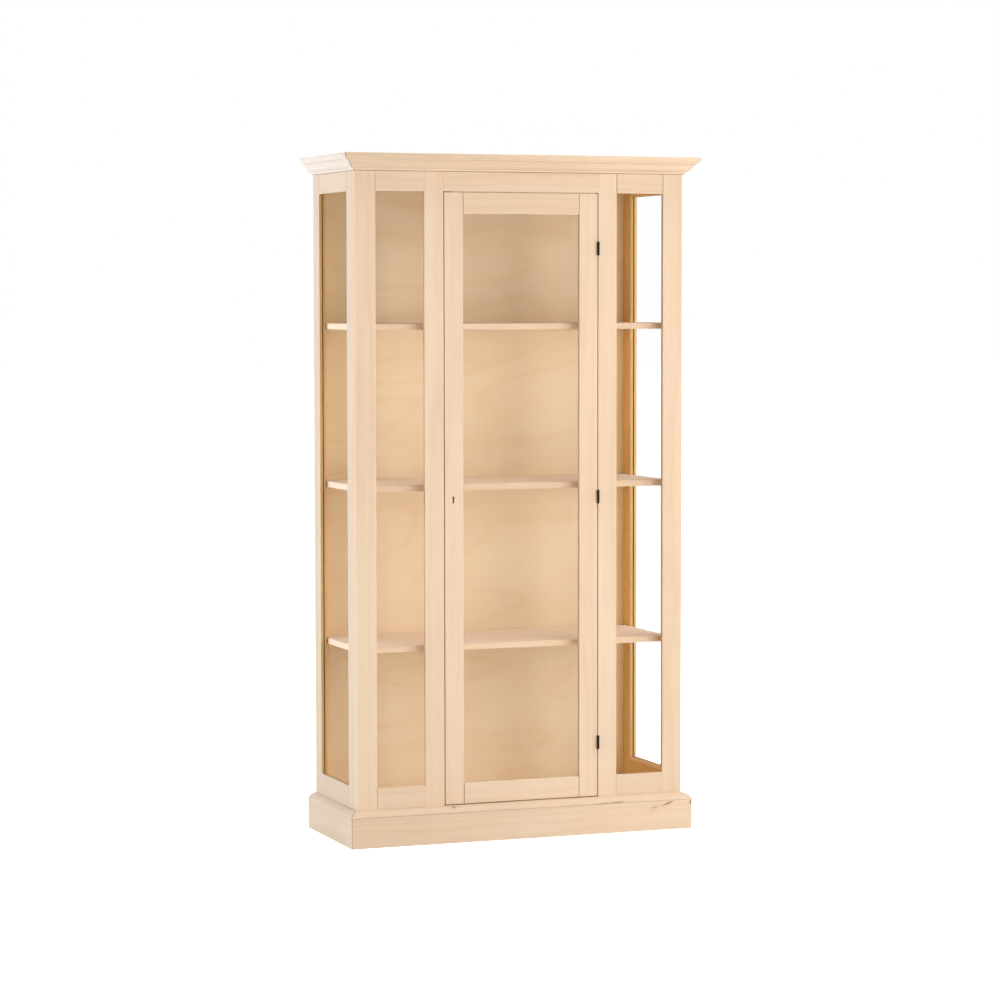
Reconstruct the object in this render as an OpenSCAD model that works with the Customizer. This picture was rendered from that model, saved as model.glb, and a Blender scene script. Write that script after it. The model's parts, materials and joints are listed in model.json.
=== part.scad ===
// Free-standing display cabinet of unfinished pale wood, with three shelves,
// glazed front bays, glazed sides and one glazed door on three butt hinges.
// The origin is on the floor, in the middle of the cabinet's width and depth.
// X runs to the right, Y to the back and Z up.

/* [Body] */
// Width of the cabinet body over its side frames
body_w = 1020; // [940:5:1160]
// Depth of the cabinet body from the face of the front frame to the back
body_d = 396; // [320:2:480]
// Height over the cornice
total_h = 2000; // [1800:10:2200]

/* [Frames] */
// Thickness of the front frame, the side frames and the door
frame_t = 22; // [20:0.5:28]
// Width of the front frame's corner stiles
corner_stile_w = 61; // [50:1:75]
// Width of the mullions beside the door
mullion_w = 58; // [45:1:70]
// Width of each fixed glazed opening beside the door
bay_w = 149; // [110:1:180]
// Width of the side frames' stiles
side_stile_w = 57; // [48:1:75]
// Height of the lower edge of the bottom rails
rail_foot_z = 60; // [40:1:75]
// Height of the upper edge of the bottom rails
bottom_rail_z = 170; // [150:1:220]
// Distance from the top of the cornice down to the lower edge of the top rails
top_rail_drop = 107; // [95:1:140]
// Thickness of the tenons on the rails
tenon_t = 7; // [5:0.5:9]
// Length of the tenons on the rails
tenon_l = 20; // [12:1:26]
// Distance of a tenon from the edges of its rail
tenon_shoulder = 14; // [13:0.5:18]
// Clearance of the tenons in their mortises
tenon_clear = 0.2; // [0.1:0.05:0.4]

/* [Glazing] */
// Thickness of the wooden lip in front of the glass
lip_t = 8; // [6:0.5:9]
// Width of the rebate around each pane
rebate_w = 9; // [7:0.5:12]
// Thickness of the panes
glass_t = 4; // [3:0.5:5]
// Clearance between the edge of a pane and its rebate
glass_gap = 1.5; // [0.5:0.25:2.5]
// Width of the lip left showing beside the glazing beads
bead_reveal = 1; // [0.5:0.25:3]
// Distance of the glazing beads below the inner face of the frame
bead_sink = 1; // [0.5:0.25:2.5]
// Distance that each glazing bead is cut short at its mitres
mitre_gap = 0.1; // [0.05:0.05:0.5]

/* [Floor, back and top] */
// Height of the floor panel's top, which is level with the door sill
sill_z = 108; // [100:1:120]
// Thickness of the floor panel
floor_panel_t = 18; // [12:1:22]
// Side of the square battens under the floor panel
batten_w = 20; // [12:1:26]
// Thickness of the top panel
top_panel_t = 12; // [10:1:20]
// Thickness of the plywood back panel
back_panel_t = 6; // [4:0.5:8]
// Distance of the back panel below the rear edge of the side frames
back_sink = 1; // [0.5:0.5:3]
// Width of the rebate that holds the back panel
back_rebate_w = 10; // [8:0.5:13]
// Clearance between the edge of the back panel and its rebate
back_gap = 1; // [0.5:0.25:2]
// Height of the rail behind the top of the back panel's opening
back_rail_h = 60; // [40:1:80]
// Distance between neighbouring screws up the sides of the back panel
back_screw_pitch = 440; // [300:10:600]

/* [Plinth] */
// Height of the plinth boards
plinth_h = 88; // [70:1:95]
// Thickness of the plinth boards
plinth_t = 25; // [18:0.5:32]
// Distance that the plinth moulding stands out beyond the plinth boards
plinth_bead_out = 1; // [0.5:0.25:3]
// Height of the upright edge of the plinth moulding
plinth_bead_h = 6; // [4:0.5:9]

/* [Cornice] */
// Height of the cornice moulding
cornice_h = 50; // [44:1:70]
// Distance that the cornice stands out beyond the body
cornice_out = 42; // [36:1:60]
// Height of the square fillet at the top of the cornice
cornice_fillet_h = 12; // [8:0.5:15]
// Distance that the cornice steps in under its fillet
cornice_step = 4; // [2:0.5:8]
// Height of the upright band under the step
cornice_band_h = 8; // [4:0.5:12]
// Height of the foot of the cornice
cornice_foot_h = 6; // [4:0.5:9]
// Distance that the foot of the cornice stands out
cornice_foot_out = 5; // [3:0.5:9]
// Depth of the double curve across the face of the cornice
cornice_wave = 2.5; // [1:0.25:4]

/* [Shelves] */
// Thickness of the shelves
shelf_t = 18; // [14:1:24]
// Distance from one shelf's top to the next, and from the floor panel to the first
shelf_pitch = 468; // [400:2:480]
// Distance of the shelves behind the front frame
shelf_setback = 18; // [8:1:60]
// Clearance between a shelf and the side frames
shelf_gap = 1.5; // [0.5:0.25:4]
// Clearance between a shelf and the back panel
shelf_back_gap = 1; // [0.5:0.25:4]
// Diameter of the shelf pins
shelf_pin_d = 5; // [4:0.5:7]
// Length of a shelf pin inside the side frame
shelf_pin_in = 9; // [6:0.5:12]
// Length of a shelf pin under the shelf
shelf_pin_out = 9; // [6:0.5:14]

/* [Door] */
// Width of the door's stiles
door_stile_w = 57; // [52:1:70]
// Width of the door's rails
door_rail_w = 61; // [50:1:80]
// Gap above and below the door
door_end_gap = 2.5; // [2.25:0.25:4]

/* [Hinges] */
// Height of a hinge
hinge_h = 40; // [30:1:60]
// Distance from the door's top and bottom to the middle of the outer hinges
hinge_inset = 160; // [100:5:260]
// Depth of a hinge leaf in the gap beside the door
leaf_w = 18; // [14:0.5:20]
// Thickness of a hinge leaf
leaf_t = 1.4; // [1:0.1:2]
// Clearance between the leaves of a closed hinge
leaf_clear = 0.2; // [0.1:0.05:0.5]
// Outer diameter of the hinge knuckles
knuckle_d = 7; // [6:0.25:9]
// Distance of the knuckles in front of the wood
knuckle_stand = 0.3; // [0.2:0.1:1]
// Clearance between neighbouring knuckles
knuckle_gap = 0.2; // [0.1:0.05:0.5]
// Diameter of the hinge pin
pin_d = 3; // [2.5:0.25:4]
// Running clearance around the hinge pin, on its radius
pin_fit = 0.05; // [0.02:0.01:0.09]

/* [Screws] */
// Diameter of the screws
screw_d = 3; // [2:0.25:3.5]
// Length of the screws
screw_l = 14; // [10:0.5:15]
// Diameter of the countersunk screw heads
screw_head_d = 5.6; // [5:0.1:6.5]
// Height of the countersunk screw heads
screw_head_h = 1.2; // [0.8:0.1:1.3]

/* [Lock] */
// Distance from the door's edge to the middle of the keyhole
key_backset = 26; // [22:0.5:30]
// Diameter of the keyhole's round head
key_head_d = 5; // [4:0.25:6]
// Width of the keyhole's slot
key_slot_w = 2.6; // [2:0.1:3.2]
// Height of the keyhole
key_h = 18; // [14:0.5:22]
// Wall of the metal liner around the keyhole
liner_wall = 1; // [0.6:0.1:1.5]
// Depth of the metal liner in the wood
liner_depth = 5; // [3:0.5:5.5]
// Height of the lock case
case_h = 50; // [46:1:60]
// Depth of the lock case from the door's edge plate
case_d = 38; // [36:1:42]
// Thickness of the lock case
case_t = 9.5; // [8.5:0.25:10]
// Wall of the lock case
case_wall = 1; // [0.8:0.1:1.4]
// Height of the keyhole's middle above the foot of the lock case
key_rise = 14; // [13:0.5:16]
// Height of the bolt's middle above the middle of the keyhole
bolt_rise = 20; // [19:0.5:22]
// Height of the bolt
bolt_h = 14; // [10:0.5:16]
// Thickness of the bolt
bolt_t = 6; // [4:0.25:6.5]
// Length of the bolt's thick head inside the retracted lock
bolt_head_l = 14; // [12:0.5:16]
// Length of the bolt's thin tail
bolt_tail_l = 20; // [18:0.5:20]
// Thickness of the bolt's tail
bolt_tail_t = 3; // [2:0.25:4]
// Travel of the bolt
bolt_throw = 8; // [5:0.5:10]
// Clearance around the bolt
bolt_fit = 0.2; // [0.1:0.05:0.4]
// Diameter of the stud that guides the bolt's tail
stud_d = 2.5; // [2:0.25:3]
// Height of the lock's edge plate and of the strike plate
plate_h = 72; // [70:1:84]
// Width of the lock's edge plate and of the strike plate
plate_w = 14; // [12:0.5:16]
// Thickness of the lock's edge plate and of the strike plate
plate_t = 2; // [1.5:0.1:3]
// Distance of the plate screws from the ends of their plate
plate_screw_inset = 5; // [4:0.25:6]

/* [Door catch] */
// Width of the door catch
catch_w = 23; // [16:1:34]
// Thickness of the door catch's plate in the gap over the door
catch_plate_t = 1.6; // [1:0.1:1.8]
// Distance of the door catch's plate behind the front face
catch_inset = 1.5; // [0.5:0.25:4]
// Thickness of the stop behind the door
catch_stop_t = 8; // [5:0.5:14]
// Height of the stop behind the door
catch_stop_h = 16; // [10:0.5:26]
// Clearance between the closed door and the stop
catch_clear = 0.4; // [0.2:0.1:1]

/* [Hidden] */
$fn = 48;

// Number of shelves
shelf_count = 3;
// Number of hinges on the door
hinge_count = 3;
// Number of knuckles in one hinge
knuckle_count = 5;
// Number of steps along the double curve of the cornice
wave_steps = 12;
// Length by which a cutting solid passes the face that it cuts
cut = 1;

pale_wood = "#ecd2b0";
inner_wood = "#e2bd8e";
glass_tint = "#dfeeee";
dark_metal = "#2b241f";
brass_metal = "#b08a4a";
steel_metal = "#9a9a98";
black_plastic = "#151515";

half_w = body_w/2;
front_y = (cornice_out - body_d)/2;
back_y = front_y + body_d;
frame_back_y = front_y + frame_t;
side_in_x = half_w - frame_t;
body_top_z = total_h - top_panel_t;
top_rail_z = total_h - top_rail_drop;
back_rebate_d = back_panel_t + back_sink;
panel_front_y = back_y - back_rebate_d;

bay_out_x = half_w - corner_stile_w;
bay_in_x = bay_out_x - bay_w;
door_open_x = bay_in_x - mullion_w;
side_open_front_y = frame_back_y + side_stile_w;
side_open_back_y = back_y - side_stile_w;

door_gap = 2*leaf_t + leaf_clear;
door_x = door_open_x - door_gap;
door_foot_z = sill_z + door_end_gap;
door_top_z = top_rail_z - door_end_gap;
door_mid_z = (door_foot_z + door_top_z)/2;
door_glass_x = door_x - door_stile_w;
door_glass_foot_z = door_foot_z + door_rail_w;
door_glass_top_z = door_top_z - door_rail_w;

hinge_x = door_open_x - door_gap/2;
hinge_y = front_y - knuckle_stand - knuckle_d/2;
hinge_screw_y = front_y + leaf_w/2;
hinge_screw_z = hinge_h/4;
hinge_z = [for (i = [0:hinge_count - 1])
    door_foot_z + hinge_inset + i*(door_top_z - door_foot_z - 2*hinge_inset)/(hinge_count - 1)];
knuckle_h = (hinge_h - (knuckle_count - 1)*knuckle_gap)/knuckle_count;

lock_y = front_y + frame_t/2;
key_x = -door_x + key_backset;
key_z = door_mid_z;
case_foot_z = key_z - key_rise;
case_mid_z = case_foot_z + case_h/2;
bolt_z = key_z + bolt_rise;
stud_x = -door_x + bolt_head_l + stud_d;
plate_screw_z = plate_h/2 - plate_screw_inset;

tenon_y = front_y + (frame_t - tenon_t)/2;
rebate_d = frame_t - lip_t;
bead_d = rebate_d - glass_t - bead_sink;

shelf_z = [for (i = [1:shelf_count]) sill_z + i*shelf_pitch];
shelf_front_y = frame_back_y + shelf_setback;
shelf_pin_y = [frame_back_y + (shelf_setback + side_stile_w)/2, (side_open_back_y + panel_front_y)/2];

back_panel_foot_z = sill_z - floor_panel_t + back_gap;
back_panel_x = side_in_x + back_rebate_w - back_gap;
back_panel_top_z = body_top_z - back_gap;
back_screw_x = side_in_x + (back_rebate_w - back_gap)/2;
back_screw_foot_z = back_panel_foot_z + back_rail_h/2;
back_screw_top_z = body_top_z - back_rail_h/2;
back_screw_count = max(2, round((back_screw_top_z - back_screw_foot_z)/back_screw_pitch) + 1);
back_screw_rows = [for (i = [0:back_screw_count - 1])
    back_screw_foot_z + i*(back_screw_top_z - back_screw_foot_z)/(back_screw_count - 1)];

// A box given by its lowest and its highest corner
module box(low, high) {
    translate(low)
        cube(high - low);
}

// The same piece on the other side of the cabinet
module other_side() {
    mirror([1, 0, 0])
        children();
}

// A countersunk screw whose head is at the origin and whose point is towards +Z
module screw() {
    cylinder(h = screw_head_h, d1 = screw_head_d, d2 = screw_d);
    cylinder(h = screw_l - screw_d, d = screw_d);
    translate([0, 0, screw_l - screw_d])
        cylinder(h = screw_d, d1 = screw_d, d2 = screw_d/4);
}

// Places its child at both screws of every hinge, pointing in direction dir along X
module at_hinge_screws(x, dir) {
    for (z = hinge_z)
        for (side = [-1, 1])
            translate([x, hinge_screw_y, z + side*hinge_screw_z])
                rotate([0, 90*dir, 0])
                    children();
}

// Places its child at both screws of the lock plate or the strike plate
module at_plate_screws(x, dir) {
    for (side = [-1, 1])
        translate([x, lock_y, case_mid_z + side*plate_screw_z])
            rotate([0, 90*dir, 0])
                children();
}

// Places its child at every screw of the back panel
module at_back_screws() {
    for (side = [-1, 1])
        for (z = back_screw_rows)
            translate([side*back_screw_x, back_y - back_sink, z])
                rotate([90, 0, 0])
                    children();
    for (x = [-side_in_x/2, 0, side_in_x/2])
        translate([x, back_y - back_sink, back_screw_top_z])
            rotate([90, 0, 0])
                children();
}

// Places its child at the screw of the door catch
module at_catch_screw() {
    translate([-door_x + catch_w/2, lock_y, top_rail_z - catch_plate_t])
        children();
}

// The space of a front pane's rebate, for the opening from low to high in X and Z
module front_pocket(low, high) {
    box([low[0] - rebate_w, front_y + lip_t, low[1] - rebate_w],
        [high[0] + rebate_w, front_y + frame_t + cut, high[1] + rebate_w]);
}

// The pane of a front opening
module front_pane(low, high) {
    edge = rebate_w - glass_gap;
    box([low[0] - edge, front_y + lip_t, low[1] - edge],
        [high[0] + edge, front_y + lip_t + glass_t, high[1] + edge]);
}

// Four mitred beads around an opening, lying in X and Y with their depth along Z
module bead_ring(low, high, depth) {
    a = low - [rebate_w, rebate_w];
    b = high + [rebate_w, rebate_w];
    c = low - [bead_reveal, bead_reveal];
    d = high + [bead_reveal, bead_reveal];
    g = mitre_gap;
    linear_extrude(depth) {
        polygon([[a[0] + g, a[1]], [b[0] - g, a[1]], [d[0] - g, c[1]], [c[0] + g, c[1]]]);
        polygon([[a[0] + g, b[1]], [b[0] - g, b[1]], [d[0] - g, d[1]], [c[0] + g, d[1]]]);
        polygon([[a[0], a[1] + g], [a[0], b[1] - g], [c[0], d[1] - g], [c[0], c[1] + g]]);
        polygon([[b[0], a[1] + g], [b[0], b[1] - g], [d[0], d[1] - g], [d[0], c[1] + g]]);
    }
}

// The beads behind the pane of a front opening
module front_beads(low, high) {
    translate([0, front_y + lip_t + glass_t + bead_d, 0])
        rotate([90, 0, 0])
            bead_ring(low, high, bead_d);
}

// A rail of the front plane with a tenon at each end
module front_rail(x0, x1, z0, z1) {
    box([x0, front_y, z0], [x1, frame_back_y, z1]);
    box([x0 - tenon_l, tenon_y, z0 + tenon_shoulder], [x1 + tenon_l, tenon_y + tenon_t, z1 - tenon_shoulder]);
}

// The mortises for the tenons of a rail of the front plane
module front_mortise(x0, x1, z0, z1) {
    c = tenon_clear;
    box([x0 - tenon_l - c, tenon_y - c, z0 + tenon_shoulder - c],
        [x1 + tenon_l + c, tenon_y + tenon_t + c, z1 - tenon_shoulder + c]);
}

// A rail of the left side frame with a tenon at each end
module side_rail(z0, z1) {
    y0 = side_open_front_y;
    y1 = side_open_back_y;
    x0 = -half_w + (frame_t - tenon_t)/2;
    box([-half_w, y0, z0], [-side_in_x, y1, z1]);
    box([x0, y0 - tenon_l, z0 + tenon_shoulder], [x0 + tenon_t, y1 + tenon_l, z1 - tenon_shoulder]);
}

// The mortises for the tenons of a rail of the left side frame
module side_mortise(z0, z1) {
    c = tenon_clear;
    x0 = -half_w + (frame_t - tenon_t)/2;
    box([x0 - c, side_open_front_y - tenon_l - c, z0 + tenon_shoulder - c],
        [x0 + tenon_t + c, side_open_back_y + tenon_l + c, z1 - tenon_shoulder + c]);
}

// The space of the left side pane's rebate
module side_pocket() {
    box([-half_w + lip_t, side_open_front_y - rebate_w, bottom_rail_z - rebate_w],
        [-side_in_x + cut, side_open_back_y + rebate_w, top_rail_z + rebate_w]);
}

// The outline of the keyhole, grown by a margin, around the middle of its height
module keyhole_shape(grow) {
    head_r = key_head_d/2 + grow;
    slot_w = key_slot_w + 2*grow;
    top = key_h/2 + grow;
    translate([0, top - head_r])
        circle(head_r);
    translate([-slot_w/2, -top + slot_w/2])
        square([slot_w, 2*top - slot_w/2 - head_r]);
    translate([0, -top + slot_w/2])
        circle(slot_w/2);
}

// The keyhole as a solid from the front face to a depth behind it
module keyhole(grow, depth) {
    translate([key_x, front_y + depth, key_z])
        rotate([90, 0, 0])
            linear_extrude(depth)
                keyhole_shape(grow);
}

// The part of a straight moulding in front of the body, between its corner mitres
module front_mitre(out) {
    reach = out + cut;
    linear_extrude(total_h)
        polygon([[-half_w, front_y], [half_w, front_y],
            [half_w + reach, front_y - reach], [-half_w - reach, front_y - reach]]);
}

// The part of a straight moulding beside the body, behind its corner mitre
module left_mitre(out) {
    reach = out + cut;
    linear_extrude(total_h)
        polygon([[-half_w, front_y], [-half_w, back_y], [-half_w - reach, back_y],
            [-half_w - reach, front_y - reach]]);
}

// A profile, given by distance out from the body and height, run along the front
module front_run(out) {
    intersection() {
        translate([-half_w - out, front_y, 0])
            rotate([90, 0, 90])
                linear_extrude(body_w + 2*out)
                    mirror([1, 0])
                        children();
        front_mitre(out);
    }
}

// A profile, given by distance out from the body and height, run along the left side
module left_run(out) {
    intersection() {
        translate([-half_w, back_y, 0])
            rotate([90, 0, 0])
                linear_extrude(body_d + out)
                    mirror([1, 0])
                        children();
        left_mitre(out);
    }
}

module plinth_profile() {
    square([plinth_t, plinth_h]);
}

module plinth_moulding_profile() {
    out = plinth_t + plinth_bead_out;
    polygon([[0, plinth_h], [out, plinth_h], [out, plinth_h + plinth_bead_h], [0, sill_z]]);
}

module cornice_profile() {
    foot_z = total_h - cornice_h;
    band_out = cornice_out - cornice_step;
    fillet_z = total_h - cornice_fillet_h;
    start = [cornice_foot_out, foot_z + cornice_foot_h];
    end = [band_out, fillet_z - cornice_band_h];
    wave = [for (i = [0:wave_steps])
        start + (end - start)*i/wave_steps + [0.6, -0.8]*cornice_wave*sin(360*i/wave_steps)];
    polygon(concat([[0, foot_z], [cornice_foot_out, foot_z]], wave,
        [[band_out, fillet_z], [cornice_out, fillet_z], [cornice_out, total_h], [0, total_h]]));
}

module plinth_front() {
    color(pale_wood)
        front_run(plinth_t)
            plinth_profile();
}

module plinth_left() {
    color(pale_wood)
        left_run(plinth_t)
            plinth_profile();
}

module plinth_right() {
    other_side()
        plinth_left();
}

module plinth_back() {
    color(inner_wood)
        box([-side_in_x, back_y - frame_t, 0], [side_in_x, back_y, sill_z - floor_panel_t]);
}

module plinth_moulding_front() {
    color(pale_wood)
        front_run(plinth_t + plinth_bead_out)
            plinth_moulding_profile();
}

module plinth_moulding_left() {
    color(pale_wood)
        left_run(plinth_t + plinth_bead_out)
            plinth_moulding_profile();
}

module plinth_moulding_right() {
    other_side()
        plinth_moulding_left();
}

module floor_panel() {
    color(inner_wood)
        box([-side_in_x, frame_back_y, sill_z - floor_panel_t], [side_in_x, panel_front_y, sill_z]);
}

module floor_battens() {
    top = sill_z - floor_panel_t;
    color(inner_wood)
        for (side = [0, 1])
            mirror([side, 0, 0])
                box([-side_in_x, frame_back_y, top - batten_w], [-side_in_x + batten_w, back_y - frame_t, top]);
}

module top_panel() {
    color(pale_wood)
        box([-half_w, front_y, body_top_z], [half_w, back_y, total_h]);
}

module back_panel() {
    color(inner_wood)
        difference() {
            box([-back_panel_x, panel_front_y, back_panel_foot_z],
                [back_panel_x, panel_front_y + back_panel_t, back_panel_top_z]);
            at_back_screws()
                screw();
        }
}

module back_top_rail() {
    color(inner_wood)
        difference() {
            box([-side_in_x, panel_front_y - frame_t, body_top_z - back_rail_h],
                [side_in_x, panel_front_y, body_top_z]);
            at_back_screws()
                screw();
        }
}

module back_panel_screws() {
    color(steel_metal)
        at_back_screws()
            screw();
}

module corner_stile_left() {
    low = [-bay_out_x, bottom_rail_z];
    high = [-bay_in_x, top_rail_z];
    color(pale_wood)
        difference() {
            box([-half_w, front_y, 0], [-bay_out_x, frame_back_y, body_top_z]);
            front_pocket(low, high);
            front_mortise(-bay_out_x, -bay_in_x, rail_foot_z, bottom_rail_z);
            front_mortise(-bay_out_x, -bay_in_x, top_rail_z, body_top_z);
        }
}

module corner_stile_right() {
    other_side()
        corner_stile_left();
}

// A mullion without its metalwork, on the left of the door
module plain_mullion() {
    difference() {
        box([-bay_in_x, front_y, 0], [-door_open_x, frame_back_y, body_top_z]);
        front_pocket([-bay_out_x, bottom_rail_z], [-bay_in_x, top_rail_z]);
        front_mortise(-bay_out_x, -bay_in_x, rail_foot_z, bottom_rail_z);
        front_mortise(-bay_out_x, -bay_in_x, top_rail_z, body_top_z);
        front_mortise(-door_open_x, door_open_x, rail_foot_z, sill_z);
        front_mortise(-door_open_x, door_open_x, top_rail_z, body_top_z);
    }
}

// The recess of the strike plate and the hollow that takes the thrown bolt
module strike_recess() {
    c = 2*bolt_fit;
    box([-door_open_x - plate_t, lock_y - plate_w/2, case_mid_z - plate_h/2],
        [-door_open_x + cut, lock_y + plate_w/2, case_mid_z + plate_h/2]);
    box([-door_x - bolt_throw - 2*plate_t, lock_y - bolt_t/2 - c, bolt_z - bolt_h/2 - c],
        [-door_open_x, lock_y + bolt_t/2 + c, bolt_z + bolt_h/2 + c]);
}

module mullion_left() {
    color(pale_wood)
        difference() {
            plain_mullion();
            strike_recess();
            at_plate_screws(-door_open_x, -1)
                screw();
        }
}

module mullion_right() {
    color(pale_wood)
        difference() {
            other_side()
                plain_mullion();
            at_hinge_screws(hinge_x + leaf_clear/2, 1)
                screw();
        }
}

module bay_top_rail_left() {
    color(pale_wood)
        difference() {
            front_rail(-bay_out_x, -bay_in_x, top_rail_z, body_top_z);
            front_pocket([-bay_out_x, bottom_rail_z], [-bay_in_x, top_rail_z]);
        }
}

module bay_top_rail_right() {
    other_side()
        bay_top_rail_left();
}

module bay_bottom_rail_left() {
    color(pale_wood)
        difference() {
            front_rail(-bay_out_x, -bay_in_x, rail_foot_z, bottom_rail_z);
            front_pocket([-bay_out_x, bottom_rail_z], [-bay_in_x, top_rail_z]);
        }
}

module bay_bottom_rail_right() {
    other_side()
        bay_bottom_rail_left();
}

module door_head_rail() {
    color(pale_wood)
        difference() {
            front_rail(-door_open_x, door_open_x, top_rail_z, body_top_z);
            at_catch_screw()
                screw();
        }
}

module door_sill_rail() {
    color(pale_wood)
        front_rail(-door_open_x, door_open_x, rail_foot_z, sill_z);
}

// The blind holes for the shelf pins in one stile of the left side frame
module shelf_pin_holes() {
    for (z = shelf_z)
        for (y = shelf_pin_y)
            translate([-side_in_x - shelf_pin_in, y, z - shelf_t - shelf_pin_d/2])
                rotate([0, 90, 0])
                    cylinder(h = shelf_pin_in + cut, d = shelf_pin_d);
}

module side_front_stile_left() {
    color(pale_wood)
        difference() {
            box([-half_w, frame_back_y, 0], [-side_in_x, side_open_front_y, body_top_z]);
            side_pocket();
            side_mortise(rail_foot_z, bottom_rail_z);
            side_mortise(top_rail_z, body_top_z);
            shelf_pin_holes();
        }
}

module side_front_stile_right() {
    other_side()
        side_front_stile_left();
}

module side_rear_stile_left() {
    color(pale_wood)
        difference() {
            box([-half_w, side_open_back_y, 0], [-side_in_x, back_y, body_top_z]);
            side_pocket();
            side_mortise(rail_foot_z, bottom_rail_z);
            side_mortise(top_rail_z, body_top_z);
            shelf_pin_holes();
            box([-side_in_x - back_rebate_w, panel_front_y, back_panel_foot_z - back_gap],
                [-side_in_x + cut, back_y + cut, body_top_z + cut]);
            at_back_screws()
                screw();
        }
}

module side_rear_stile_right() {
    other_side()
        side_rear_stile_left();
}

module side_top_rail_left() {
    color(pale_wood)
        difference() {
            side_rail(top_rail_z, body_top_z);
            side_pocket();
        }
}

module side_top_rail_right() {
    other_side()
        side_top_rail_left();
}

module side_bottom_rail_left() {
    color(pale_wood)
        difference() {
            side_rail(rail_foot_z, bottom_rail_z);
            side_pocket();
        }
}

module side_bottom_rail_right() {
    other_side()
        side_bottom_rail_left();
}

module bay_glass_left() {
    color(glass_tint, 0.35)
        front_pane([-bay_out_x, bottom_rail_z], [-bay_in_x, top_rail_z]);
}

module bay_glass_right() {
    other_side()
        bay_glass_left();
}

module side_glass_left() {
    edge = rebate_w - glass_gap;
    color(glass_tint, 0.35)
        box([-half_w + lip_t, side_open_front_y - edge, bottom_rail_z - edge],
            [-half_w + lip_t + glass_t, side_open_back_y + edge, top_rail_z + edge]);
}

module side_glass_right() {
    other_side()
        side_glass_left();
}

module bay_glazing_beads() {
    color(inner_wood)
        for (side = [0, 1])
            mirror([side, 0, 0])
                front_beads([-bay_out_x, bottom_rail_z], [-bay_in_x, top_rail_z]);
}

module side_glazing_beads() {
    color(inner_wood)
        for (side = [0, 1])
            mirror([side, 0, 0])
                translate([-half_w + lip_t + glass_t, 0, 0])
                    rotate([90, 0, 90])
                        bead_ring([side_open_front_y, bottom_rail_z], [side_open_back_y, top_rail_z], bead_d);
}

// One shelf, counted from the lowest
module shelf(i) {
    x = side_in_x - shelf_gap;
    color(inner_wood)
        box([-x, shelf_front_y, shelf_z[i] - shelf_t], [x, panel_front_y - shelf_back_gap, shelf_z[i]]);
}

module shelf_lower() {
    shelf(0);
}

module shelf_middle() {
    shelf(1);
}

module shelf_upper() {
    shelf(2);
}

module shelf_pins() {
    color(steel_metal)
        for (side = [0, 1])
            mirror([side, 0, 0])
                for (z = shelf_z)
                    for (y = shelf_pin_y)
                        translate([-side_in_x - shelf_pin_in, y, z - shelf_t - shelf_pin_d/2])
                            rotate([0, 90, 0])
                                cylinder(h = shelf_pin_in + shelf_pin_out, d = shelf_pin_d);
}

module cornice_front() {
    color(pale_wood)
        front_run(cornice_out)
            cornice_profile();
}

module cornice_left() {
    color(pale_wood)
        left_run(cornice_out)
            cornice_profile();
}

module cornice_right() {
    other_side()
        cornice_left();
}

// One leaf of a hinge around the origin; dir is 1 on the frame's side and -1 on the door's
module hinge_leaf(dir, bore) {
    parity = dir > 0 ? 0 : 1;
    near = dir*leaf_clear/2;
    far = near + dir*leaf_t;
    clear_y = knuckle_d/2 + knuckle_gap;
    plate_back_y = knuckle_stand + knuckle_d/2 + leaf_w;
    difference() {
        union() {
            box([min(near, far), clear_y, -hinge_h/2], [max(near, far), plate_back_y, hinge_h/2]);
            for (i = [parity:2:knuckle_count - 1])
                translate([0, 0, -hinge_h/2 + i*(knuckle_h + knuckle_gap)]) {
                    cylinder(h = knuckle_h, d = knuckle_d);
                    box([min(near, far), 0, 0], [max(near, far), clear_y + cut, knuckle_h]);
                }
        }
        translate([0, 0, -hinge_h/2 - cut])
            cylinder(h = hinge_h + 2*cut, d = bore);
    }
}

module hinge_frame_leaves() {
    color(dark_metal)
        difference() {
            for (z = hinge_z)
                translate([hinge_x, hinge_y, z])
                    hinge_leaf(1, pin_d);
            at_hinge_screws(hinge_x + leaf_clear/2, 1)
                screw();
        }
}

module hinge_door_leaves() {
    color(dark_metal)
        difference() {
            for (z = hinge_z)
                translate([hinge_x, hinge_y, z])
                    hinge_leaf(-1, pin_d + 2*pin_fit);
            at_hinge_screws(hinge_x - leaf_clear/2, -1)
                screw();
        }
}

module hinge_pins() {
    color(dark_metal)
        for (z = hinge_z)
            translate([hinge_x, hinge_y, z - hinge_h/2])
                cylinder(h = hinge_h, d = pin_d);
}

module frame_screws() {
    color(steel_metal) {
        at_hinge_screws(hinge_x + leaf_clear/2, 1)
            screw();
        at_plate_screws(-door_open_x, -1)
            screw();
        at_catch_screw()
            screw();
    }
}

module strike_plate() {
    c = 2*bolt_fit;
    color(brass_metal)
        difference() {
            box([-door_open_x - plate_t, lock_y - plate_w/2, case_mid_z - plate_h/2],
                [-door_open_x, lock_y + plate_w/2, case_mid_z + plate_h/2]);
            box([-door_open_x - plate_t - cut, lock_y - bolt_t/2 - c, bolt_z - bolt_h/2 - c],
                [-door_open_x + cut, lock_y + bolt_t/2 + c, bolt_z + bolt_h/2 + c]);
            at_plate_screws(-door_open_x, -1)
                screw();
        }
}

module door_catch() {
    x0 = -door_x;
    x1 = -door_x + catch_w;
    stop_y = frame_back_y + catch_clear;
    color(black_plastic)
        difference() {
            union() {
                box([x0, front_y + catch_inset, top_rail_z - catch_plate_t],
                    [x1, stop_y + catch_stop_t, top_rail_z]);
                box([x0, stop_y, top_rail_z - catch_stop_h], [x1, stop_y + catch_stop_t, top_rail_z]);
            }
            at_catch_screw()
                screw();
        }
}

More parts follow.
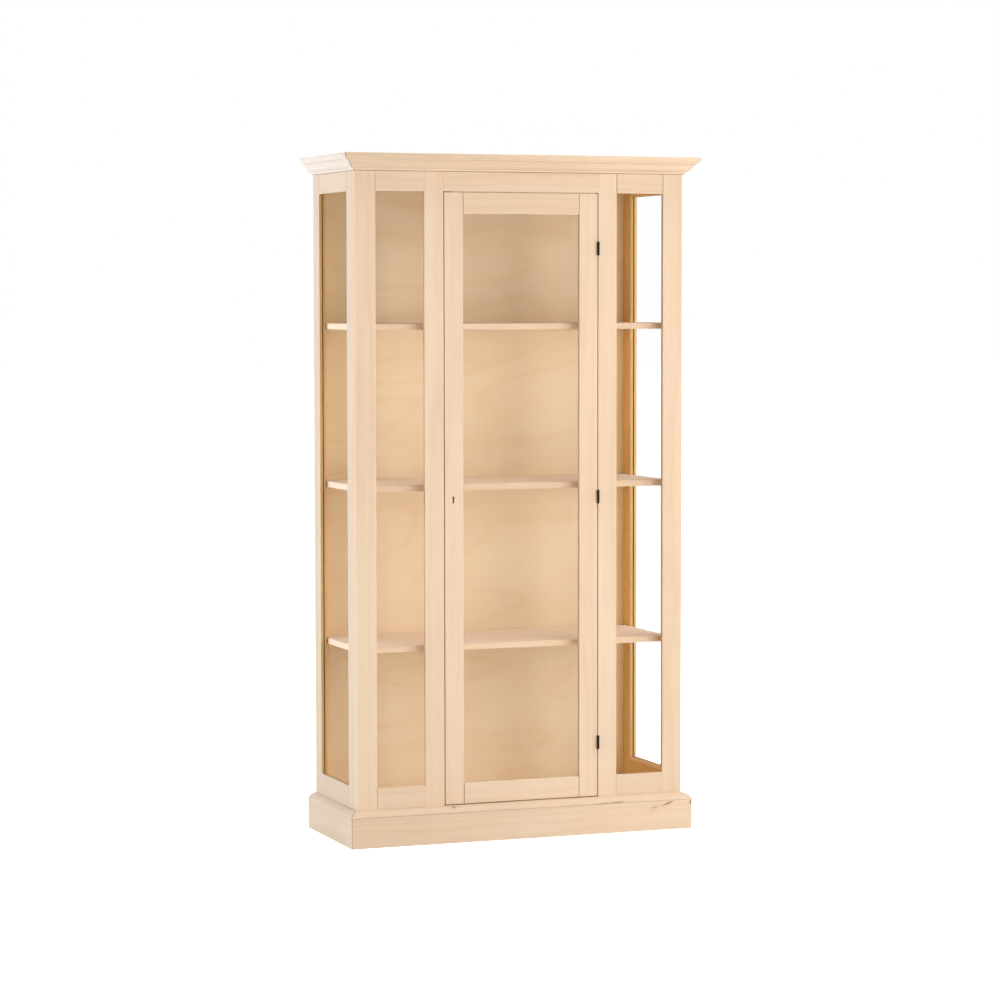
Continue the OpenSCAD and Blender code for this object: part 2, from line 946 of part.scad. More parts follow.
// A stile of the door, on the left, without its metalwork
module plain_door_stile() {
    difference() {
        box([-door_x, front_y, door_foot_z], [-door_glass_x, frame_back_y, door_top_z]);
        front_pocket([-door_glass_x, door_glass_foot_z], [door_glass_x, door_glass_top_z]);
        front_mortise(-door_glass_x, door_glass_x, door_foot_z, door_glass_foot_z);
        front_mortise(-door_glass_x, door_glass_x, door_glass_top_z, door_top_z);
    }
}

module door_lock_stile() {
    color(pale_wood)
        difference() {
            plain_door_stile();
            box([-door_x - cut, lock_y - plate_w/2, case_mid_z - plate_h/2],
                [-door_x + plate_t, lock_y + plate_w/2, case_mid_z + plate_h/2]);
            box([-door_x, lock_y - case_t/2, case_foot_z],
                [-door_x + plate_t + case_d, lock_y + case_t/2, case_foot_z + case_h]);
            keyhole(liner_wall, liner_depth);
            keyhole(0, frame_t/2);
            at_plate_screws(-door_x, 1)
                screw();
        }
}

module door_hinge_stile() {
    color(pale_wood)
        difference() {
            other_side()
                plain_door_stile();
            at_hinge_screws(hinge_x - leaf_clear/2, -1)
                screw();
        }
}

module door_top_rail() {
    color(pale_wood)
        difference() {
            front_rail(-door_glass_x, door_glass_x, door_glass_top_z, door_top_z);
            front_pocket([-door_glass_x, door_glass_foot_z], [door_glass_x, door_glass_top_z]);
        }
}

module door_bottom_rail() {
    color(pale_wood)
        difference() {
            front_rail(-door_glass_x, door_glass_x, door_foot_z, door_glass_foot_z);
            front_pocket([-door_glass_x, door_glass_foot_z], [door_glass_x, door_glass_top_z]);
        }
}

module door_glass() {
    color(glass_tint, 0.35)
        front_pane([-door_glass_x, door_glass_foot_z], [door_glass_x, door_glass_top_z]);
}

module door_glazing_beads() {
    color(inner_wood)
        front_beads([-door_glass_x, door_glass_foot_z], [door_glass_x, door_glass_top_z]);
}

module door_screws() {
    color(steel_metal) {
        at_hinge_screws(hinge_x - leaf_clear/2, -1)
            screw();
        at_plate_screws(-door_x, 1)
            screw();
    }
}

module keyhole_liner() {
    color(brass_metal)
        difference() {
            keyhole(liner_wall, liner_depth);
            translate([0, -cut, 0])
                keyhole(0, liner_depth + 2*cut);
        }
}

module lock_case() {
    case_x0 = -door_x + plate_t;
    case_x1 = case_x0 + case_d;
    color(brass_metal)
        difference() {
            union() {
                difference() {
                    union() {
                        box([-door_x, lock_y - plate_w/2, case_mid_z - plate_h/2],
                            [case_x0, lock_y + plate_w/2, case_mid_z + plate_h/2]);
                        box([case_x0, lock_y - case_t/2, case_foot_z],
                            [case_x1, lock_y + case_t/2, case_foot_z + case_h]);
                    }
                    box([case_x0, lock_y - case_t/2 + case_wall, case_foot_z + case_wall],
                        [case_x1 - case_wall, lock_y + case_t/2 - case_wall, case_foot_z + case_h - case_wall]);
                }
                translate([stud_x, lock_y + case_t/2, bolt_z])
                    rotate([90, 0, 0])
                        cylinder(h = case_t, d = stud_d);
            }
            box([-door_x - cut, lock_y - bolt_t/2 - bolt_fit, bolt_z - bolt_h/2 - bolt_fit],
                [case_x0 + cut, lock_y + bolt_t/2 + bolt_fit, bolt_z + bolt_h/2 + bolt_fit]);
            keyhole(0, frame_t/2);
            at_plate_screws(-door_x, 1)
                screw();
        }
}

module lock_bolt() {
    tail_x1 = -door_x + bolt_head_l + bolt_tail_l;
    slot_r = stud_d/2 + bolt_fit;
    color(steel_metal)
        difference() {
            union() {
                box([-door_x, lock_y - bolt_t/2, bolt_z - bolt_h/2],
                    [-door_x + bolt_head_l, lock_y + bolt_t/2, bolt_z + bolt_h/2]);
                box([-door_x + bolt_head_l - cut, lock_y - bolt_tail_t/2, bolt_z - bolt_h/2],
                    [tail_x1, lock_y + bolt_tail_t/2, bolt_z + bolt_h/2]);
            }
            for (x = [stud_x, stud_x + bolt_throw])
                translate([x, lock_y + bolt_t, bolt_z])
                    rotate([90, 0, 0])
                        cylinder(h = 2*bolt_t, r = slot_r);
            box([stud_x, lock_y - bolt_t, bolt_z - slot_r], [stud_x + bolt_throw, lock_y + bolt_t, bolt_z + slot_r]);
        }
}

plinth_front();
plinth_left();
plinth_right();
plinth_back();
plinth_moulding_front();
plinth_moulding_left();
plinth_moulding_right();
floor_panel();
floor_battens();
top_panel();
back_panel();
back_top_rail();
back_panel_screws();
corner_stile_left();
corner_stile_right();
mullion_left();
mullion_right();
bay_top_rail_left();
bay_top_rail_right();
bay_bottom_rail_left();
bay_bottom_rail_right();
door_head_rail();
door_sill_rail();
side_front_stile_left();
side_front_stile_right();
side_rear_stile_left();
side_rear_stile_right();
side_top_rail_left();
side_top_rail_right();
side_bottom_rail_left();
side_bottom_rail_right();
bay_glass_left();
bay_glass_right();
side_glass_left();
side_glass_right();
bay_glazing_beads();
side_glazing_beads();
shelf_lower();
shelf_middle();
shelf_upper();
shelf_pins();
cornice_front();
cornice_left();
cornice_right();
hinge_frame_leaves();
hinge_pins();
frame_screws();
strike_plate();
door_catch();
door_lock_stile();
door_hinge_stile();
door_top_rail();
door_bottom_rail();
door_glass();
door_glazing_beads();
hinge_door_leaves();
door_screws();
lock_case();
keyhole_liner();
lock_bolt();
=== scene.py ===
"""Looks of a free-standing display cabinet of unfinished pale wood.

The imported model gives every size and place. This script dresses each piece: eased
arrises, fine mouldings, mitred glazing beads, screws, panes, metal and wood grain.
Lengths are in metres, X runs to the right, Y to the back and Z up.
"""
from __future__ import annotations

import json
import logging
import math
import random
from dataclasses import dataclass, field
from enum import Enum
from typing import Iterable, Sequence

import bmesh
import bpy
from mathutils import Matrix, Vector

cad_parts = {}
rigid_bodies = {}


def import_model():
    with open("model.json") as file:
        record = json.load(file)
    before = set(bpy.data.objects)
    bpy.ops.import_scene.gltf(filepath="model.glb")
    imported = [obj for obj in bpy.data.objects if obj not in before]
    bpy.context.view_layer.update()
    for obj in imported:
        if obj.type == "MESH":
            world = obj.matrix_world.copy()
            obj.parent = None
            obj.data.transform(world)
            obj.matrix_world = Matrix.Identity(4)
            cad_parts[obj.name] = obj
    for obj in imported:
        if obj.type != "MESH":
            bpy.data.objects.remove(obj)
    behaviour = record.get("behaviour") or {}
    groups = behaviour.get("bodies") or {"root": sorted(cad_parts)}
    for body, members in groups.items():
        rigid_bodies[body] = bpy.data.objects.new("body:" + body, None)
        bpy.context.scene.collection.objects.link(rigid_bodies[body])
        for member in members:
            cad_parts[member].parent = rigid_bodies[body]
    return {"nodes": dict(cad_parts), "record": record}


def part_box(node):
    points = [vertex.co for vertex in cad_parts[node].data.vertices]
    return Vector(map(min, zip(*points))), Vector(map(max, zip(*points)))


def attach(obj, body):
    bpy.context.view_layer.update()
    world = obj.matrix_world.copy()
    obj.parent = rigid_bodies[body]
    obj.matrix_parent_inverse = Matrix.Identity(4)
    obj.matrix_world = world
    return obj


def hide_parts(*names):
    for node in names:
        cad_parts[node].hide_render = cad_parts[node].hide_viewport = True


LOG = logging.getLogger("cabinet")
MM = 0.001
MERGE_DISTANCE = 1e-6
FLAT_ANGLE = math.radians(0.5)

Socket = bpy.types.NodeSocket
Colour = tuple[float, float, float, float]
WHITE: Colour = (1.0, 1.0, 1.0, 1.0)
RAW_WOOD_GLOSS = 0.14


def srgb(red: int, green: int, blue: int) -> Colour:
    """Turns a colour as it shows on a screen into the linear colour that shaders use.

    Args:
        red: Red from 0 to 255.
        green: Green from 0 to 255.
        blue: Blue from 0 to 255.

    Returns:
        The linear colour with an alpha of 1.
    """
    def linear(value: int) -> float:
        """Gives the linear share of one channel."""
        share = value / 255
        return share / 12.92 if share <= 0.04045 else ((share + 0.055) / 1.055) ** 2.4

    return (linear(red), linear(green), linear(blue), 1.0)


class Grain(Enum):
    """The way the grain of a piece runs, as the turn that brings it onto Z."""

    ALONG_X = (0.0, -math.pi / 2, 0.0)
    ALONG_Y = (math.pi / 2, 0.0, 0.0)
    ALONG_Z = (0.0, 0.0, 0.0)

    @property
    def axis(self) -> int:
        """The number of the axis that the grain runs along."""
        return list(Grain).index(self)


class SocketKind(Enum):
    """The kinds of socket that the node groups here use."""

    NUMBER = "NodeSocketFloat"
    WHOLE = "NodeSocketInt"
    VECTOR = "NodeSocketVector"
    COLOUR = "NodeSocketColor"
    GEOMETRY = "NodeSocketGeometry"
    OBJECT = "NodeSocketObject"
    MATERIAL = "NodeSocketMaterial"


class Graph:
    """Adds nodes to one node tree, sets their inputs and links them."""

    def __init__(self, tree: bpy.types.NodeTree) -> None:
        """Keeps the tree that the nodes go into."""
        self.tree = tree

    def add(self, kind: str, inputs: dict | None = None, **settings: object) -> bpy.types.Node:
        """Adds one node.

        Args:
            kind: The node's type.
            inputs: Values or sockets for its inputs, by name or number.
            **settings: The node's own settings.

        Returns:
            The new node.
        """
        node = self.tree.nodes.new(kind)
        for name, value in settings.items():
            setattr(node, name, value)
        for key, value in (inputs or {}).items():
            if isinstance(value, Socket):
                self.tree.links.new(value, node.inputs[key])
            else:
                node.inputs[key].default_value = value
        return node

    def math(self, operation: str, first: Socket | float, second: Socket | float = 0.0,
             clamp: bool = False) -> Socket:
        """Adds a Math node and returns its output."""
        return self.add("ShaderNodeMath", {0: first, 1: second},
                        operation=operation, use_clamp=clamp).outputs[0]

    def vector(self, operation: str, first: Socket, second: Socket | Sequence[float]) -> Socket:
        """Adds a Vector Math node and returns its vector output."""
        return self.add("ShaderNodeVectorMath", {0: first, 1: second},
                        operation=operation).outputs["Vector"]

    def length(self, vector: Socket) -> Socket:
        """Returns the length of a vector."""
        return self.add("ShaderNodeVectorMath", {0: vector}, operation="LENGTH").outputs["Value"]

    def waves(self, vector: Socket, detail: float) -> bpy.types.Node:
        """Adds smooth noise with about one wave to the unit."""
        return self.add("ShaderNodeTexNoise", {"Vector": vector, "Scale": 1.0, "Detail": detail})

    def noise(self, vector: Socket, stretch: Sequence[float], detail: float = 2.0) -> Socket:
        """Returns smooth noise from 0 to 1, with so many waves to the metre along X, Y and Z."""
        return self.waves(self.vector("MULTIPLY", vector, stretch), detail).outputs["Fac"]

    def patches(self, vector: Socket, scale: Socket, detail: float) -> Socket:
        """Returns smooth noise from 0 to 1, with so many waves to the metre every way."""
        scaled = self.add("ShaderNodeVectorMath", {0: vector, "Scale": scale}, operation="SCALE")
        return self.waves(scaled.outputs["Vector"], detail).outputs["Fac"]

    def step(self, value: Socket, low: float, high: float) -> Socket:
        """Returns 0 below low, 1 above high, and a smooth rise between them."""
        return self.add("ShaderNodeMapRange", {"Value": value, "From Min": low, "From Max": high},
                        interpolation_type="SMOOTHSTEP").outputs["Result"]

    def blend(self, share: Socket | float, first: Socket | Colour, second: Socket | Colour,
              mode: str = "MIX") -> Socket:
        """Mixes two colours by a share and returns the colour."""
        node = self.add("ShaderNodeMix", {0: share, 6: first, 7: second},
                        data_type="RGBA", blend_type=mode)
        return node.outputs[2]

    def mark(self, name: str) -> Socket:
        """Reads one of the attributes that mark the faces of a piece."""
        return self.add("ShaderNodeAttribute", attribute_name=name).outputs["Fac"]

    def group(self, tree: bpy.types.NodeTree, inputs: dict) -> bpy.types.Node:
        """Places one of the shared groups."""
        return self.add("ShaderNodeGroup", inputs, node_tree=tree)

    def send(self, node: bpy.types.Node, sockets: dict[str | int, Socket]) -> None:
        """Links sockets to a node's inputs, by name or number."""
        for key, socket in sockets.items():
            self.tree.links.new(socket, node.inputs[key])


def cleared(holder: bpy.types.Material | bpy.types.World) -> Graph:
    """Turns on the nodes of a material or world and empties them.

    Args:
        holder: The material or world.

    Returns:
        Its empty graph.
    """
    holder.use_nodes = True
    holder.node_tree.nodes.clear()
    return Graph(holder.node_tree)


def new_group(name: str, kind: str, inputs: dict, outputs: dict
              ) -> tuple[Graph, bpy.types.Node, bpy.types.Node]:
    """Starts a node group with named inputs and outputs.

    Args:
        name: The group's name.
        kind: ShaderNodeTree or GeometryNodeTree.
        inputs: The kind and the default value of each input, by name.
        outputs: The kind of each output, by name.

    Returns:
        The graph of the group, its input node and its output node.
    """
    tree = bpy.data.node_groups.new(name, kind)
    for label, (socket_kind, value) in inputs.items():
        socket = tree.interface.new_socket(name=label, in_out="INPUT", socket_type=socket_kind.value)
        if value is not None:
            socket.default_value = value
    for label, socket_kind in outputs.items():
        tree.interface.new_socket(name=label, in_out="OUTPUT", socket_type=socket_kind.value)
    graph = Graph(tree)
    return graph, graph.add("NodeGroupInput"), graph.add("NodeGroupOutput")


class Effects:
    """The shader node groups that more than one material shares.

    A name in WAVES holds the waves to the metre along X, Y and Z. The grain of timber
    runs along Z and that of the veneer along X. A name in STEP holds the values at which
    a mask starts and ends.
    """

    SWAY_WAVES = (5.0, 5.0, 1.1)
    SWAY_REACH = (0.03, 0.03, 0.0)
    TONE_WAVES = (7.0, 7.0, 0.9)
    FIBRE_WAVES = (1100.0, 1100.0, 26.0)
    STREAK_WAVES = (160.0, 160.0, 3.0)
    FLECK_WAVES = (800.0, 800.0, 120.0)
    FLECK_STEP = (0.66, 0.76)
    HILL_WAVES = (1.1, 1.1, 4.2)
    RIPPLE_WAVES = (9.0, 9.0, 30.0)
    CLOUD_WAVES = (1.6, 1.6, 3.0)
    PEEL_WAVES = (18.0, 18.0, 900.0)
    KNOT_WAVES = (260.0, 260.0, 260.0)
    KNOT_CORE_STEP = (0.45, 1.15)
    KNOT_HALO_STEP = (1.2, 4.2)
    WEAR_AND_HIGHLIGHT_STEP = (0.3, 0.62)
    SCRATCH_WAVES = (4000.0, 4000.0, 150.0)

    def __init__(self) -> None:
        """Builds every group once."""
        self.timber_grain = self._timber_grain()
        self.veneer_figure = self._veneer_figure()
        self.knot = self._knot()
        self.edge_wear_and_highlight = self._edge_wear_and_highlight()
        self.handling = self._handling()
        self.brushing = self._brushing()

    def _timber_grain(self) -> bpy.types.NodeTree:
        """Growth rings, fibres and flecks of solid wood whose grain runs along Z.

        Returns:
            The group.
        """
        graph, given, result = new_group("timber_grain", "ShaderNodeTree", {
            "Vector": (SocketKind.VECTOR, None),
            "Ring Spacing": (SocketKind.NUMBER, 0.004),
            "Ring Strength": (SocketKind.NUMBER, 0.3),
            "Fibre Strength": (SocketKind.NUMBER, 0.3),
            "Fleck Strength": (SocketKind.NUMBER, 0.3),
            "Light": (SocketKind.COLOUR, None),
            "Dark": (SocketKind.COLOUR, None),
        }, {"Color": SocketKind.COLOUR, "Roughness": SocketKind.NUMBER, "Height": SocketKind.NUMBER})
        place = given.outputs["Vector"]
        sway = graph.waves(graph.vector("MULTIPLY", place, self.SWAY_WAVES), 2.0).outputs["Color"]
        bend = graph.vector("MULTIPLY", graph.vector("SUBTRACT", sway, (0.5, 0.5, 0.5)), self.SWAY_REACH)
        bent = graph.vector("MULTIPLY", graph.vector("ADD", place, bend), (1.0, 1.0, 0.0))
        turns = graph.math("DIVIDE", graph.length(bent), given.outputs["Ring Spacing"])
        ring = graph.math("POWER", graph.math("PINGPONG", turns, 1.0), 3.0)
        tone = graph.noise(place, self.TONE_WAVES, 3.0)
        fibre = graph.noise(place, self.FIBRE_WAVES, 3.0)
        streak = graph.noise(place, self.STREAK_WAVES)
        fleck = graph.step(graph.noise(place, self.FLECK_WAVES, 1.0), *self.FLECK_STEP)
        share = graph.math("MULTIPLY", ring, given.outputs["Ring Strength"])
        share = graph.math("ADD", share, graph.math("MULTIPLY", graph.math("SUBTRACT", tone, 0.42), 1.3))
        uneven = graph.math("SUBTRACT", graph.math("ADD", fibre, streak), 1.0)
        fibrous = graph.math("MULTIPLY", uneven, given.outputs["Fibre Strength"])
        share = graph.math("ADD", share, fibrous, True)
        colour = graph.blend(share, given.outputs["Light"], given.outputs["Dark"])
        spots = graph.math("MULTIPLY", fleck, given.outputs["Fleck Strength"])
        speckled = graph.blend(spots, colour, given.outputs["Dark"], "MULTIPLY")
        rough = graph.math("MULTIPLY", graph.math("ADD", fibre, ring), 0.5)
        height = graph.math("SUBTRACT", graph.math("ADD", graph.math("MULTIPLY", ring, 0.4), fibre), fleck)
        graph.send(result, {"Color": speckled, "Roughness": rough, "Height": height})
        return graph.tree

    def _veneer_figure(self) -> bpy.types.NodeTree:
        """The wavy face grain of peeled plywood, which runs along X on an upright panel.

        Returns:
            The group.
        """
        graph, given, result = new_group("veneer_figure", "ShaderNodeTree", {
            "Vector": (SocketKind.VECTOR, None),
            "Line Strength": (SocketKind.NUMBER, 0.3),
            "Lines": (SocketKind.NUMBER, 14.0),
            "Light": (SocketKind.COLOUR, None),
            "Dark": (SocketKind.COLOUR, None),
        }, {"Color": SocketKind.COLOUR, "Roughness": SocketKind.NUMBER, "Height": SocketKind.NUMBER})
        place = given.outputs["Vector"]
        hills = graph.noise(place, self.HILL_WAVES, 1.0)
        ripple = graph.math("MULTIPLY", graph.noise(place, self.RIPPLE_WAVES), 0.05)
        level = graph.math("MULTIPLY", graph.math("ADD", hills, ripple), given.outputs["Lines"])
        line = graph.math("POWER", graph.math("PINGPONG", level, 1.0), 5.0)
        cloud = graph.noise(place, self.CLOUD_WAVES, 3.0)
        fibre = graph.noise(place, self.PEEL_WAVES)
        share = graph.math("MULTIPLY", line, given.outputs["Line Strength"])
        share = graph.math("ADD", share, graph.math("MULTIPLY", graph.math("SUBTRACT", cloud, 0.35), 1.1))
        fibrous = graph.math("MULTIPLY", graph.math("SUBTRACT", fibre, 0.5), 0.25)
        share = graph.math("ADD", share, fibrous, True)
        colour = graph.blend(share, given.outputs["Light"], given.outputs["Dark"])
        graph.send(result, {"Color": colour, "Roughness": fibre,
                            "Height": graph.math("SUBTRACT", fibre, line)})
        return graph.tree

    def _knot(self) -> bpy.types.NodeTree:
        """One knot that goes through a board from front to back, with faint rings around it.

        Returns:
            The group.
        """
        graph, given, result = new_group("knot", "ShaderNodeTree", {
            "Vector": (SocketKind.VECTOR, None),
            "Centre": (SocketKind.VECTOR, None),
            "Half Length": (SocketKind.NUMBER, 0.01),
            "Half Width": (SocketKind.NUMBER, 0.004),
            "Turn": (SocketKind.NUMBER, 0.0),
            "Depth": (SocketKind.NUMBER, 1.0),
        }, {"Mask": SocketKind.NUMBER, "Halo": SocketKind.NUMBER})
        place = graph.vector("SUBTRACT", given.outputs["Vector"], given.outputs["Centre"])
        turned = graph.add("ShaderNodeVectorRotate", {"Vector": place, "Angle": given.outputs["Turn"]},
                           rotation_type="Y_AXIS").outputs["Vector"]
        parts = graph.add("ShaderNodeSeparateXYZ", {0: turned})
        along = graph.math("DIVIDE", parts.outputs["X"], given.outputs["Half Length"])
        across = graph.math("DIVIDE", parts.outputs["Z"], given.outputs["Half Width"])
        reach = graph.length(graph.add("ShaderNodeCombineXYZ", {"X": along, "Z": across}).outputs[0])
        rough = graph.math("SUBTRACT", graph.noise(given.outputs["Vector"], self.KNOT_WAVES), 0.5)
        reach = graph.math("ADD", reach, graph.math("MULTIPLY", rough, 0.9))
        core = graph.math("SUBTRACT", 1.0, graph.step(reach, *self.KNOT_CORE_STEP))
        fade = graph.math("SUBTRACT", 1.0, graph.step(reach, *self.KNOT_HALO_STEP))
        rings = graph.math("PINGPONG", graph.math("MULTIPLY", reach, 1.3), 1.0)
        halo = graph.math("MULTIPLY", fade, rings)
        depth = given.outputs["Depth"]
        graph.send(result, {"Mask": graph.math("MULTIPLY", core, depth),
                            "Halo": graph.math("MULTIPLY", halo, depth)})
        return graph.tree

    def _edge_wear_and_highlight(self) -> bpy.types.NodeTree:
        """An uneven mask along the eased arrises, from the arris attribute of the mesh: rubbed wear on
        metal and plastic, a painted highlight on wood.

        Returns:
            The group.
        """
        graph, given, result = new_group("edge_wear_and_highlight", "ShaderNodeTree", {
            "Vector": (SocketKind.VECTOR, None),
            "Arris": (SocketKind.NUMBER, 0.0),
            "Strength": (SocketKind.NUMBER, 0.5),
            "Patches": (SocketKind.NUMBER, 40.0),
        }, {"Mask": SocketKind.NUMBER})
        patch = graph.patches(given.outputs["Vector"], given.outputs["Patches"], 3.0)
        uneven = graph.math("ADD", 0.35, graph.step(patch, *self.WEAR_AND_HIGHLIGHT_STEP))
        mask = graph.math("MULTIPLY", given.outputs["Arris"], uneven)
        graph.send(result, {"Mask": graph.math("MULTIPLY", mask, given.outputs["Strength"], True)})
        return graph.tree

    def _handling(self) -> bpy.types.NodeTree:
        """Faint smudges and dust: a slow change of tone and roughness over a surface.

        Returns:
            The group.
        """
        graph, given, result = new_group("handling", "ShaderNodeTree", {
            "Vector": (SocketKind.VECTOR, None),
            "Patch Size": (SocketKind.NUMBER, 0.1),
            "Strength": (SocketKind.NUMBER, 0.1),
            "Roughness": (SocketKind.NUMBER, 0.5),
        }, {"Roughness": SocketKind.NUMBER, "Shade": SocketKind.NUMBER})
        patch = graph.patches(given.outputs["Vector"],
                              graph.math("DIVIDE", 1.0, given.outputs["Patch Size"]), 4.0)
        shift = graph.math("MULTIPLY", graph.math("SUBTRACT", patch, 0.5), given.outputs["Strength"])
        graph.send(result, {"Roughness": graph.math("ADD", given.outputs["Roughness"], shift, True),
                            "Shade": graph.math("ADD", 1.0, shift)})
        return graph.tree

    def _brushing(self) -> bpy.types.NodeTree:
        """Fine scratches of rolled or brushed metal, which run along Z.

        Returns:
            The group.
        """
        graph, given, result = new_group("brushing", "ShaderNodeTree", {
            "Vector": (SocketKind.VECTOR, None),
            "Strength": (SocketKind.NUMBER, 0.3),
            "Roughness": (SocketKind.NUMBER, 0.35),
        }, {"Roughness": SocketKind.NUMBER, "Height": SocketKind.NUMBER})
        scratch = graph.noise(given.outputs["Vector"], self.SCRATCH_WAVES)
        shift = graph.math("MULTIPLY", graph.math("SUBTRACT", scratch, 0.5), given.outputs["Strength"])
        graph.send(result, {"Roughness": graph.math("ADD", given.outputs["Roughness"], shift, True),
                            "Height": graph.math("MULTIPLY", scratch, given.outputs["Strength"])})
        return graph.tree


@dataclass(frozen=True)
class Knot:
    """A knot or dark streak in a board that faces the front."""

    x: float
    z: float
    half_length: float
    half_width: float
    turn: float = 0.0
    depth: float = 1.0


@dataclass(frozen=True)
class PieceSite:
    """What a finish has to know of the piece that it covers."""

    name: str
    low: Vector
    high: Vector
    grain: Grain = Grain.ALONG_Z

    @property
    def middle(self) -> Vector:
        """The middle of the piece."""
        return (self.low + self.high) / 2

    @property
    def thin_axis(self) -> int:
        """The axis across the piece's thickness.

        Returns:
            The axis's number.
        """
        size = self.high - self.low
        across = [axis for axis in range(3) if axis != self.grain.axis]
        return min(across, key=lambda axis: size[axis])

    def dice(self) -> random.Random:
        """Gives draws that depend on the piece's name alone."""
        return random.Random(self.name)


@dataclass(frozen=True)
class Finish:
    """What every finish shares: smudges from handling, a tone along the arrises (rubbed wear on metal and
    plastic, a painted highlight on wood) and fine relief.
    """

    name: str
    effects: Effects = field(repr=False, compare=False)
    roughness: float = 0.5
    patch_size: float = 0.1
    smudge: float = 0.1
    wear_and_highlight: float = 0.5
    wear_and_highlight_patches: float = 40.0
    bump_height: float = 0.0001
    bump_strength: float = 0.5

    def start(self, site: PieceSite) -> tuple[bpy.types.Material, Graph, bpy.types.Node, Socket]:
        """Starts a material for one piece.

        Args:
            site: The piece that gets the material.

        Returns:
            The material, its graph, its Principled node and the object coordinates.
        """
        material = bpy.data.materials.new(f"{self.name}.{site.name}")
        graph = cleared(material)
        shader = graph.add("ShaderNodeBsdfPrincipled")
        graph.add("ShaderNodeOutputMaterial", {"Surface": shader.outputs["BSDF"]})
        return material, graph, shader, graph.add("ShaderNodeTexCoord").outputs["Object"]

    def handled(self, graph: Graph, place: Socket) -> bpy.types.Node:
        """Places the tone and the roughness that handling leaves."""
        return graph.group(self.effects.handling, {
            "Vector": place, "Patch Size": self.patch_size, "Strength": self.smudge,
            "Roughness": self.roughness})

    def wear_and_highlight_mask(self, graph: Graph, place: Socket) -> Socket:
        """Places the mask of the arrises: rubbed wear on metal and plastic, a painted highlight on wood."""
        return graph.group(self.effects.edge_wear_and_highlight, {
            "Vector": place, "Arris": graph.mark("arris"), "Strength": self.wear_and_highlight,
            "Patches": self.wear_and_highlight_patches}).outputs["Mask"]

    def knot_masks(self, graph: Graph, place: Socket, site: PieceSite, knot: Knot) -> bpy.types.Node:
        """Places the masks of one knot."""
        return graph.group(self.effects.knot, {
            "Vector": place, "Centre": (knot.x, site.middle.y, knot.z),
            "Half Length": knot.half_length, "Half Width": knot.half_width,
            "Turn": knot.turn, "Depth": knot.depth})

    def relief(self, graph: Graph, height: Socket) -> Socket:
        """Turns a height into a normal."""
        return graph.add("ShaderNodeBump", {"Height": height, "Distance": self.bump_height,
                                            "Strength": self.bump_strength}).outputs["Normal"]


